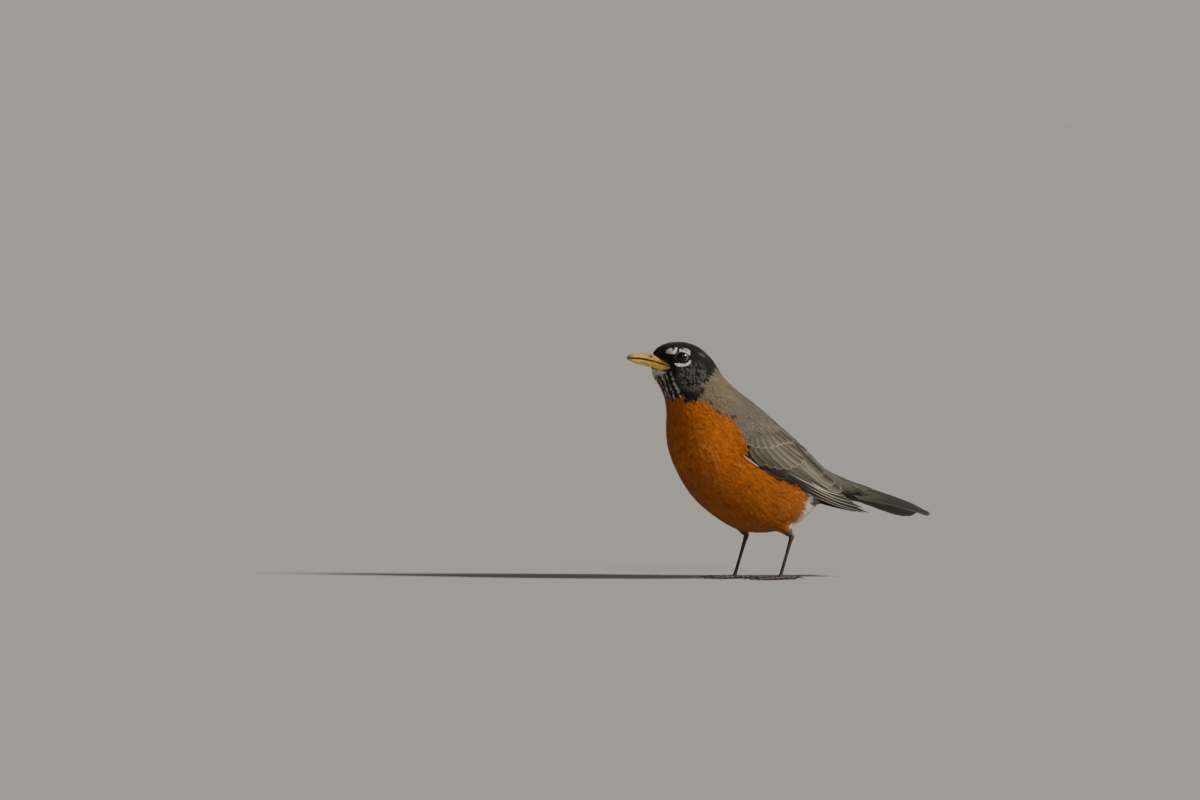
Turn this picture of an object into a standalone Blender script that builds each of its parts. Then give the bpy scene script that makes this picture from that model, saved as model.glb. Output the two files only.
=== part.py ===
"""American robin (Turdus migratorius), male, standing: a life-size still model in separate solids.

Run with: blender --background --python part.py
The bird faces -X and its left side is -Y. +Z is up and the feet stand at z = 0.
Sizes below are in millimetres, and every mesh is made in metres through MM.
"""

import math

import bmesh
import bpy
from mathutils import Matrix, Vector

MM = 0.001
GAP = 0.3  # clear space between neighbouring solids
ORIGIN_X = -2.5  # the middle of the bird's length
LEFT, RIGHT = -1.0, 1.0

# The body as slices from bill to tail: name, back point (x, z), belly point (x, z), half-width.
BODY_RIBS = (
    ("bill_base", (-95.3, 162.4), (-96.4, 153.8), 4.4),
    ("forehead", (-89.8, 168.0), (-93.6, 147.5), 8.0),
    ("brow", (-81.3, 171.2), (-90.0, 141.0), 12.2),
    ("crown", (-70.8, 171.2), (-86.6, 134.0), 14.8),
    ("hind_crown", (-60.2, 167.2), (-84.6, 127.0), 16.2),
    ("nape", (-50.6, 158.0), (-84.0, 119.5), 18.0),
    ("hind_neck", (-43.5, 146.5), (-83.9, 110.0), 22.0),
    ("upper_back", (-33.0, 136.5), (-82.4, 96.5), 27.5),
    ("mantle", (-16.5, 124.0), (-76.0, 79.0), 32.0),
    ("back", (2.0, 108.0), (-60.5, 56.0), 33.5),
    ("lower_back", (18.0, 92.5), (-33.0, 36.8), 31.0),
    ("rump", (29.0, 82.5), (-10.0, 33.8), 26.5),
    ("flank", (37.0, 77.4), (10.5, 39.2), 21.0),
    ("vent", (44.5, 74.0), (22.0, 52.0), 16.0),
    ("undertail", (53.0, 70.4), (40.0, 58.6), 11.5),
    ("tail_root", (62.0, 66.6), (58.5, 57.6), 8.0),
)
RIB_SIDES = 28
RINGS_PER_RIB = 3
ROUNDNESS = 2.25  # superellipse power of the slices, 2 being an ellipse
HEAD_END, NECK_START = 4.46, 4.50  # along the ribs, where the head meets the neck
NECK_END, TRUNK_START = 6.70, 6.74

# The head is turned away from the body's line about an upright axis through the neck.
HEAD_TURN = math.radians(-13.0)
HEAD_PIVOT_X = -64.0
TURN_FULL, TURN_NONE = 4.0, 7.0  # along the ribs, where the turn is whole and where it has gone

# Bill, in the unturned head: x from tip to gape.
BILL_TIP_X, GAPE_X = -112.6, -83.0
BILL_LINE = ((-112.6, 159.9), (-103.0, 159.2), (-94.1, 157.6), (-83.0, 154.0))  # where the halves meet
BILL_PART = 0.35  # half the opening between the halves
CULMEN = ((-112.6, 160.6), (-110.6, 161.9), (-107.2, 163.0), (-101.2, 163.5), (-94.7, 162.9), (-83.0, 156.0))
GONYS = ((-112.6, 159.2), (-110.6, 157.6), (-107.2, 156.0), (-101.2, 154.5), (-94.1, 152.9), (-83.0, 151.6))
BILL_WIDTHS = ((-112.6, 0.45), (-108.0, 1.9), (-101.0, 3.1), (-94.0, 4.6), (-88.0, 6.6), (-83.0, 7.2))
BILL_RINGS, BILL_SIDES = 13, 14
ARCH_SHARE = 0.72  # of a bill slice's points, those on its arched side

EYE_PLACE = (-73.4, 9.4, 160.4)  # x, side and z in the unturned head
EYE_RADIUS = 5.2

# The folded left wing as slices from wrist to tip: name, upper edge (x, out, z), lower edge (x, out, z),
# how far out its middle stands, and its thickness.
WING_RIBS = (
    ("wrist", (-41.0, 28.4, 121.0), (-43.0, 33.0, 103.0), 31.8, 3.0),
    ("shoulder", (-25.0, 23.8, 120.5), (-34.0, 34.8, 88.5), 33.6, 5.0),
    ("coverts", (-6.0, 16.2, 112.6), (-18.0, 34.4, 79.0), 32.4, 5.5),
    ("secondaries", (8.0, 10.5, 102.2), (-3.0, 32.4, 72.0), 30.0, 5.5),
    ("tertials", (21.0, 8.0, 90.6), (12.0, 28.8, 64.3), 26.7, 5.0),
    ("tertial_tips", (33.0, 11.0, 78.2), (28.0, 21.8, 57.8), 21.8, 3.6),
    ("primaries", (44.5, 13.4, 64.8), (43.5, 15.6, 53.8), 15.8, 2.0),
    ("primary_tips", (52.5, 12.0, 57.6), (54.0, 12.6, 50.9), 12.7, 1.2),
    ("tip", (61.8, 10.6, 49.2), (61.2, 10.9, 48.2), 10.9, 0.7),
)
WING_LEAN = math.radians(60.0)  # how far the wing's thickness turns down at the upper edge, over the back
WING_ROWS, WING_COLUMNS = 27, 9
FEATHER_STEP = 0.5  # how far one row of feathers stands over the next
ROW_EDGES = (0.2, 0.3, 0.42, 0.66, 0.86)  # shares of the wing's length where a row of feathers ends
ROW_SLANT = 0.1  # how much further the rows reach at the lower edge

# The folded tail, a low roof: its ridge (x, z), half-width, and how far its left and right edges droop.
TAIL_RIBS = (
    ("root", (50.0, 71.4), 9.0, 8.0, 8.6),
    ("covered", (63.0, 67.6), 12.5, 9.8, 10.8),
    ("middle", (79.0, 61.9), 15.0, 8.3, 11.0),
    ("behind", (94.0, 56.6), 17.4, 5.9, 10.0),
    ("end", (107.0, 51.6), 19.4, 3.6, 6.0),
)
TAIL_FEATHERS = 6  # on each side
TAIL_STEP = 0.35
TAIL_THICKNESS = 1.3
TAIL_NOTCH = 1.6  # how far the middle feathers end short of the outer ones
TAIL_ROUND = 3.5  # how far the corners are rounded off
TAIL_ROWS, TAIL_COLUMNS_PER_FEATHER = 8, 2

# Legs: side of the body, then where the thigh starts, the heel and the foot, each as (x, out, z).
LEGS = {
    "left": (LEFT, (-14.0, 12.0, 52.0), (5.0, 14.5, 31.5), (-4.5, 15.0, 0.0)),
    "right": (RIGHT, (-33.0, 12.0, 55.0), (-20.0, 14.5, 31.5), (-29.5, 15.0, 0.0)),
}
THIGH_RADII = (12.0, 9.0, 5.0, 2.6)
SHANK_RADII = (1.9, 1.3, 1.15, 1.2, 1.6)
SHANK_BEND = 0.3  # how far back the middle of the shank bends
# Toes: name, start ahead of and beside the foot's middle, angle outwards, length, claw length.
TOES = (
    ("inner", 1.7, -2.6, -24.0, 13.0, 5.0),
    ("middle", 2.1, 0.0, 0.0, 19.5, 5.6),
    ("outer", 1.7, 2.6, 24.0, 14.0, 5.0),
    ("hind", 2.4, 0.0, 180.0, 10.2, 6.8),
)
TOE_RADII = (1.15, 1.06, 1.15, 1.01, 1.15, 0.97, 1.0)  # thicker at the joints
TOE_LIFT = 0.88  # height of a toe's middle line, whose underside is flattened on the floor
CLAW_RADII = (0.75, 0.6, 0.25)
CLAW_RISE = 0.45  # how far the middle of a claw arches up
CLAW_REACH = 0.92  # share of a claw's length that it reaches ahead

COLOURS = {
    "hood": ((0.012, 0.011, 0.011), 0.55),
    "back": ((0.13, 0.115, 0.095), 0.6),
    "breast": ((0.45, 0.13, 0.012), 0.7),
    "flight": ((0.10, 0.09, 0.08), 0.5),
    "tail": ((0.05, 0.045, 0.04), 0.5),
    "bill": ((0.62, 0.38, 0.08), 0.35),
    "eye": ((0.006, 0.005, 0.004), 0.05),
    "thigh": ((0.16, 0.14, 0.12), 0.7),
    "leg": ((0.055, 0.04, 0.032), 0.45),
    "claw": ((0.02, 0.017, 0.015), 0.3),
}


def spline(points, at):
    """The point at a place along a smooth curve through points, counted in points from 0."""
    last = len(points) - 1
    start = min(int(at), last - 1)
    share = at - start
    before, here, there, after = (points[min(max(start + k, 0), last)] for k in (-1, 0, 1, 2))
    square, cube = share * share, share**3
    weights = (
        (-share + 2 * square - cube) / 2,
        (2 - 5 * square + 3 * cube) / 2,
        (share + 4 * square - 3 * cube) / 2,
        (cube - square) / 2,
    )
    return tuple(sum(w * v for w, v in zip(weights, values)) for values in zip(before, here, there, after))


def level(line, x):
    """The height, or width, of a line of (x, value) points at x."""
    for (x0, v0), (x1, v1) in zip(line, line[1:]):
        if x <= x1:
            share = max(0.0, (x - x0) / (x1 - x0))
            return v0 + (v1 - v0) * share
    return line[-1][1]


def smooth_share(share):
    """A share from 0 to 1, eased at both ends."""
    share = min(1.0, max(0.0, share))
    return share * share * (3 - 2 * share)


def material(name):
    """The Principled material of that name, made once."""
    found = bpy.data.materials.get(name)
    if found:
        return found
    made = bpy.data.materials.new(name)
    made.use_nodes = True
    colour, roughness = COLOURS[name]
    shader = made.node_tree.nodes["Principled BSDF"]
    shader.inputs["Base Color"].default_value = (*colour, 1.0)
    shader.inputs["Roughness"].default_value = roughness
    shader.inputs["Metallic"].default_value = 0.0
    return made


def solid(name, finish, bm):
    """An object made from a closed bmesh in millimetres."""
    bmesh.ops.transform(bm, matrix=Matrix.Scale(MM, 4), verts=bm.verts)
    bmesh.ops.translate(bm, vec=(-ORIGIN_X * MM, 0.0, 0.0), verts=bm.verts)
    bmesh.ops.recalc_face_normals(bm, faces=bm.faces)
    mesh = bpy.data.meshes.new(name)
    bm.to_mesh(mesh)
    bm.free()
    mesh.shade_smooth()
    mesh.set_sharp_from_angle(angle=math.radians(40.0))
    mesh.materials.append(material(finish))
    made = bpy.data.objects.new(name, mesh)
    bpy.context.scene.collection.objects.link(made)
    return made


def tube(surface, rings, sides):
    """A closed tube in a bmesh: surface(along, round) gives its points, both shares from 0 to 1."""
    bm = bmesh.new()
    bmesh.ops.create_grid(bm, x_segments=sides, y_segments=rings, size=1.0)
    for vertex in bm.verts:
        around, along = (vertex.co.x + 1) / 2, (vertex.co.y + 1) / 2
        vertex.co = surface(along, around % 1.0 if around < 0.9999 else 0.0)
    bmesh.ops.remove_doubles(bm, verts=bm.verts, dist=0.002)
    rims = [edge for edge in bm.edges if edge.is_boundary]
    bmesh.ops.holes_fill(bm, edges=rims, sides=0)
    return bm


def head_turned(point, share=1.0):
    """A point of the unturned head, turned by a share of the head's turn."""
    x, y, z = point
    c, s = math.cos(HEAD_TURN * share), math.sin(HEAD_TURN * share)
    dx = x - HEAD_PIVOT_X
    return Vector((HEAD_PIVOT_X + dx * c - y * s, dx * s + y * c, z))


def body_point(at, angle, grow=0.0):
    """A point on the body's surface: at counts along the ribs, and angle runs from the back round the side."""
    ribs = [(*back, *belly, width) for _, back, belly, width in BODY_RIBS]
    bx, bz, vx, vz, width = spline(ribs, at)
    back, belly = Vector((bx, 0.0, bz)), Vector((vx, 0.0, vz))
    middle, half = (back + belly) / 2, (back - belly) / 2
    half = half.normalized() * (half.length + grow)
    power = 2.0 / ROUNDNESS
    c, s = math.cos(angle), math.sin(angle)
    up = math.copysign(abs(c) ** power, c)
    side = math.copysign(abs(s) ** power, s)
    point = middle + half * up + Vector((0.0, (width + grow) * side, 0.0))
    return head_turned(point, 1.0 - smooth_share((at - TURN_FULL) / (TURN_NONE - TURN_FULL)))


def body_surface(start, end, grow=0.0):
    """The body's surface between two places along the ribs, as a function of two shares."""
    return lambda along, around: body_point(start + (end - start) * along, 2 * math.pi * around, grow)


def body_length(name, finish, start, end):
    """One length of the body, between two places along the ribs."""
    rings = max(3, round((end - start) * RINGS_PER_RIB))
    return solid(name, finish, tube(body_surface(start, end), rings, RIB_SIDES))


def bill_point(along, around, upper, grow=0.0):
    """A point on one half of the bill, whose slices are an arch on a flat."""
    x = BILL_TIP_X - grow + (GAPE_X - BILL_TIP_X + grow) * along
    sense = 1.0 if upper else -1.0
    flat = level(BILL_LINE, x) + sense * (BILL_PART - grow)
    arch = level(CULMEN if upper else GONYS, x) + sense * grow
    width = level(BILL_WIDTHS, x) + grow
    if around < ARCH_SHARE:
        angle = math.pi * around / ARCH_SHARE
        return head_turned((x, -width * math.cos(angle), flat + (arch - flat) * math.sin(angle) ** 0.8))
    across = (around - ARCH_SHARE) / (1 - ARCH_SHARE)
    return head_turned((x, width * (1 - 2 * across), flat))


def bill_half(name, upper, grow=0.0):
    """The upper or lower half of the bill."""
    return solid(name, "bill", tube(lambda a, r: bill_point(a, r, upper, grow), BILL_RINGS, BILL_SIDES))


def eye(name, side, grow=0.0):
    """An eyeball, seen only where it fills the opening between the lids."""
    x, out, z = EYE_PLACE
    bm = bmesh.new()
    bmesh.ops.create_uvsphere(bm, u_segments=16, v_segments=10, radius=EYE_RADIUS + grow)
    bmesh.ops.translate(bm, vec=head_turned((x, side * out, z)), verts=bm.verts)
    return solid(name, "eye", bm)


def cut_away(piece, *cutters):
    """Takes the cutters' shapes out of a piece and removes the cutters."""
    for cutter in cutters:
        modifier = piece.modifiers.new("cut", "BOOLEAN")
        modifier.operation = "DIFFERENCE"
        modifier.solver = "EXACT"
        modifier.object = cutter
    graph = bpy.context.evaluated_depsgraph_get()
    mesh = bpy.data.meshes.new_from_object(piece.evaluated_get(graph))
    piece.modifiers.clear()
    piece.data = mesh
    for cutter in cutters:
        bpy.data.objects.remove(cutter)


def body_cutter(start, end):
    """The body between two places along the ribs, grown by the gap."""
    rings = round((end - start) * RINGS_PER_RIB)
    return solid("body_cutter", "back", tube(body_surface(start, end, GAP), rings, RIB_SIDES))


def slab(outer, inner, rows, columns):
    """A closed slab in a bmesh between two surfaces, each a function of two shares from 0 to 1."""
    bm = bmesh.new()
    for surface in (outer, inner):
        made = bmesh.ops.create_grid(bm, x_segments=columns, y_segments=rows, size=1.0)
        for vertex in made["verts"]:
            vertex.co = surface((vertex.co.y + 1) / 2, (vertex.co.x + 1) / 2)
    bmesh.ops.bridge_loops(bm, edges=[edge for edge in bm.edges if edge.is_boundary])
    return bm


def wing_point(along, across, side, depth_share):
    """A point of the folded wing: across runs from upper to lower edge, depth_share to the inner face."""
    ribs = [(*upper, *lower, middle, thick) for _, upper, lower, middle, thick in WING_RIBS]
    ux, uo, uz, lx, lo, lz, middle, thick = spline(ribs, along * (len(ribs) - 1))
    bow = middle - (uo + lo) / 2
    out = uo + (lo - uo) * across + bow * (4 * across * (1 - across)) ** 0.75
    row = along + ROW_SLANT * (across - 1)
    start = max([edge for edge in ROW_EDGES if edge < row], default=ROW_EDGES[0] - 0.12)
    end = min([edge for edge in ROW_EDGES if edge >= row], default=1.1)
    out += FEATHER_STEP * ((row - start) / (end - start) - 0.5)
    rim = 0.35 + 0.65 * (4 * across * (1 - across)) ** 0.5
    deep = depth_share * max(0.6, thick * rim)
    lean = WING_LEAN * (1 - across) ** 2
    out -= deep * math.cos(lean)
    return Vector((ux + (lx - ux) * across, side * out, uz + (lz - uz) * across - deep * math.sin(lean)))


def wing(name, side):
    """A folded wing, with its rows of feathers as low steps, fitted to the trunk."""
    bm = slab(
        lambda along, across: wing_point(along, across, side, 0.0),
        lambda along, across: wing_point(along, across, side, 1.0),
        WING_ROWS,
        WING_COLUMNS,
    )
    made = solid(name, "flight", bm)
    cut_away(made, body_cutter(5.0, len(BODY_RIBS) - 1))
    return made


def tail_point(along, across, below):
    """A point of the folded tail, a low roof of overlapping feathers."""
    ribs = [(*ridge, width, left, right) for _, ridge, width, left, right in TAIL_RIBS]
    x, z, width, left, right = spline(ribs, along * (len(ribs) - 1))
    beside = 2 * across - 1
    droop = left if beside * LEFT > 0 else right
    feather = abs(beside) * TAIL_FEATHERS
    within = feather - math.floor(min(feather, TAIL_FEATHERS - 0.001))
    corner = max(0.0, abs(beside) - 0.7) / 0.3
    shorter = TAIL_NOTCH * (1 - abs(beside)) + TAIL_ROUND * corner**2 + 1.2 * abs(2 * within - 1) ** 3
    x -= shorter * along**6
    lamination = TAIL_STEP * (0.5 - within)
    return Vector((x, beside * width, z - droop * abs(beside) ** 1.3 + lamination - below))


def tail():
    """The folded tail of twelve feathers, behind the trunk."""
    columns = 2 * TAIL_FEATHERS * TAIL_COLUMNS_PER_FEATHER
    bm = slab(
        lambda along, across: tail_point(along, across, 0.0),
        lambda along, across: tail_point(along, across, TAIL_THICKNESS),
        TAIL_ROWS,
        columns,
    )
    made = solid("tail", "tail", bm)
    cut_away(made, body_cutter(10.0, len(BODY_RIBS) - 1))
    return made


def limb(points, radii, rings, sides, floor=None):
    """A round tube in a bmesh through points, with radii at even steps; below floor it is flattened."""
    points = [Vector(point) for point in points]

    def surface(along, around):
        at = along * (len(points) - 1)
        centre = Vector(spline([tuple(point) for point in points], at))
        ahead = Vector(spline([tuple(point) for point in points], min(at + 0.05, len(points) - 1)))
        behind = Vector(spline([tuple(point) for point in points], max(at - 0.05, 0.0)))
        axis = (ahead - behind).normalized()
        beside = axis.cross(Vector((0.0, 1.0, 0.0))).normalized()
        up = beside.cross(axis)
        radius = spline([(value,) for value in radii], along * (len(radii) - 1))[0]
        angle = 2 * math.pi * (around + 0.5 / sides)
        point = centre + (beside * math.cos(angle) + up * math.sin(angle)) * radius
        if floor is not None:
            point.z = max(point.z, floor)
        return point

    return tube(surface, rings, sides)


def leg(name, side, hip, heel, foot):
    """A leg: the feathered thigh, the bare shank, four toes and their claws."""
    hip, heel, foot = (Vector((x, side * out, z)) for x, out, z in (hip, heel, foot))
    thigh = solid(f"thigh_{name}", "thigh", limb([hip, heel], THIGH_RADII, 8, 14))
    cut_away(thigh, body_cutter(7.0, len(BODY_RIBS) - 1))
    bent = [heel, heel.lerp(foot, 0.5) + Vector((SHANK_BEND, 0.0, 0.0)), foot]
    shank = solid(f"shank_{name}", "leg", limb(bent, SHANK_RADII, 9, 10, floor=0.0))
    grown = [radius + GAP for radius in THIGH_RADII]
    past_heel = heel + (heel - hip).normalized() * GAP
    cut_away(shank, solid("thigh_cutter", "thigh", limb([hip, past_heel], grown, 8, 14)))
    for toe_name, ahead, beside, angle, length, claw in TOES:
        turn = math.radians(angle) * side
        forward = Vector((-math.cos(turn), math.sin(turn), 0.0))
        sense = -1.0 if abs(angle) > 90 else 1.0
        start = foot + Vector((-ahead * sense, side * beside, TOE_LIFT))
        end = start + forward * length
        joints = [start + forward * length * share for share in (0.0, 0.35, 0.7, 1.0)]
        solid(f"toe_{name}_{toe_name}", "leg", limb(joints, TOE_RADII, 6, 8, floor=0.0))
        base = end + forward * GAP
        crest = base + forward * claw * 0.45 + Vector((0.0, 0.0, CLAW_RISE))
        tip = base + forward * claw * CLAW_REACH + Vector((0.0, 0.0, CLAW_RADII[-1] - TOE_LIFT))
        solid(f"claw_{name}_{toe_name}", "claw", limb([base, crest, tip], CLAW_RADII, 5, 6, floor=0.0))


def head():
    """The head, with sockets for the eyes and a seat for the bill."""
    made = body_length("head", "hood", 0.0, HEAD_END)
    cutters = [eye(f"socket_{side}", side, GAP) for side in (LEFT, RIGHT)]
    cutters += [bill_half(f"seat_{upper}", upper, GAP) for upper in (True, False)]
    cut_away(made, *cutters)


def main():
    """Builds the bird, bill to tail."""
    for old in list(bpy.data.objects):
        bpy.data.objects.remove(old)
    head()
    bill_half("bill_upper", True)
    bill_half("bill_lower", False)
    eye("eye_left", LEFT)
    eye("eye_right", RIGHT)
    body_length("neck", "back", NECK_START, NECK_END)
    body_length("trunk", "breast", TRUNK_START, len(BODY_RIBS) - 1)
    wing("wing_left", LEFT)
    wing("wing_right", RIGHT)
    tail()
    for name, places in LEGS.items():
        leg(name, *places)


main()
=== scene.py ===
"""American robin (Turdus migratorius), male, standing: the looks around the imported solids.

The skin is one closed surface, and every feather over it is a thin mesh vane that follows the lie of the
plumage. Sizes are in millimetres in the bird's own frame: it faces -X, its left side is -Y, the feet stand at
z = 0 and x = 0 lies ORIGIN_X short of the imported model's middle. Meshes are made in metres.
"""

from __future__ import annotations

import logging
import math
from dataclasses import dataclass, field, replace
from enum import Enum
from functools import partial
from typing import Callable, Iterable, Sequence

import bmesh
import bpy
import numpy as np
from mathutils import Matrix, Vector
from mathutils.bvhtree import BVHTree


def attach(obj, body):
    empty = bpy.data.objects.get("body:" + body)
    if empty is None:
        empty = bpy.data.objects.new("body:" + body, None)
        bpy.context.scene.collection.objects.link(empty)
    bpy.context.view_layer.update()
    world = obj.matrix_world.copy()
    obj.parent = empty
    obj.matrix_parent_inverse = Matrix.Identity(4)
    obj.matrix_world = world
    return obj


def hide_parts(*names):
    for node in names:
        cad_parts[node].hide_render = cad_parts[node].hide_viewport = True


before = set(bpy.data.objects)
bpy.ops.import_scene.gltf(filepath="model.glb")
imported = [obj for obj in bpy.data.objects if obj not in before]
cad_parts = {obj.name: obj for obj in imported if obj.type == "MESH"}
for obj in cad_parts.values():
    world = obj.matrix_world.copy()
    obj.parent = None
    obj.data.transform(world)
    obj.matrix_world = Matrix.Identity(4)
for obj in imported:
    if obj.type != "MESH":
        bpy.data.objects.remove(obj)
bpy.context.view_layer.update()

LOG = logging.getLogger("robin")
MM = 0.001
ORIGIN_X = -2.5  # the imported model's middle, in the bird's own frame
SEED = 7
SPACING, LENGTH, WIDTH, DEPTH, LIFT = range(5)  # the columns of the feathers' measures
ROOT = "root"
Array = np.ndarray
Rng = np.random.Generator
Point = tuple[float, float]
Triple = tuple[float, float, float]
Line = Sequence[Point]
Piece, Mesh, Material = bpy.types.Object, bpy.types.Mesh, bpy.types.Material
NodeTree, Node = bpy.types.NodeTree, bpy.types.Node
Socket, Outputs = bpy.types.NodeSocket, bpy.types.NodeOutputs
BMesh = bmesh.types.BMesh
Inputs = dict[str | int, object]
Pair = tuple[object, object]
COLOUR, NUMBER = "NodeSocketColor", "NodeSocketFloat"


class Side(Enum):
    """The bird's sides, as the sign of y."""

    LEFT = -1.0
    RIGHT = 1.0

    @property
    def word(self) -> str:
        """The side as names bear it."""
        return self.name.lower()


HEELS = {Side.LEFT: 5.0, Side.RIGHT: -20.0}  # how far along x each heel stands


# --- small arithmetic


def unit(vectors: Array) -> Array:
    """Vectors scaled to length 1, along the last axis."""
    return vectors / np.maximum(np.linalg.norm(vectors, axis=-1, keepdims=True), 1e-9)


def smooth(values: Array, low: float, high: float) -> Array:
    """A smooth step from 0 at low to 1 at high."""
    t = np.clip((values - low) / (high - low), 0.0, 1.0)
    return t * t * (3 - 2 * t)


def blend(a: Array, b: Array, share: Array) -> Array:
    """Colours a and b mixed by a share for each row."""
    return a + (b - a) * np.asarray(share)[..., None]


def beyond_line(points: Array, line: Line) -> Array:
    """Signed distance from a drawn line: positive on its left hand, walking from its first point.

    Args:
        points: Profile points, (N, 2).
        line: The line's points.

    Returns:
        One distance for each point.
    """
    best = np.full(len(points), 1e9)
    aside = np.zeros(len(points))
    for a, b in zip(line[:-1], line[1:]):
        a, b = np.array(a), np.array(b)
        e = b - a
        t = np.clip((points - a) @ e / (e @ e), 0, 1)
        d = np.linalg.norm(points - a - t[:, None] * e, axis=1)
        s = (e[0] * (points[:, 1] - a[1]) - e[1] * (points[:, 0] - a[0])) / math.hypot(*e)
        nearer = (d < best - 1e-5) | ((d < best + 1e-5) & (abs(s) > abs(aside)))
        best, aside = np.where(nearer, d, best), np.where(nearer, s, aside)
    return best * np.sign(aside)


@dataclass(frozen=True)
class Oval:
    """An oval in profile.

    Args:
        centre: Its middle.
        radii: Its half-axes.
        tilt: How far it is turned, in degrees.
    """

    centre: Point
    radii: Point
    tilt: float = 0.0

    def out(self, points: Array) -> Array:
        """How far out each profile point is: 0 at the centre and 1 on the rim.

        Args:
            points: Points of the profile, (N, 2).

        Returns:
            A distance for each.
        """
        c, s = math.cos(math.radians(self.tilt)), math.sin(math.radians(self.tilt))
        d = points - np.array(self.centre)
        long, short = d[:, 0] * c + d[:, 1] * s, d[:, 1] * c - d[:, 0] * s
        return np.hypot(long / self.radii[0], short / self.radii[1])


# --- the body's lines


@dataclass(frozen=True)
class Rib:
    """One slice of the body, from the back to the belly, with its half-width."""

    name: str
    back: Point
    belly: Point
    width: float


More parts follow.
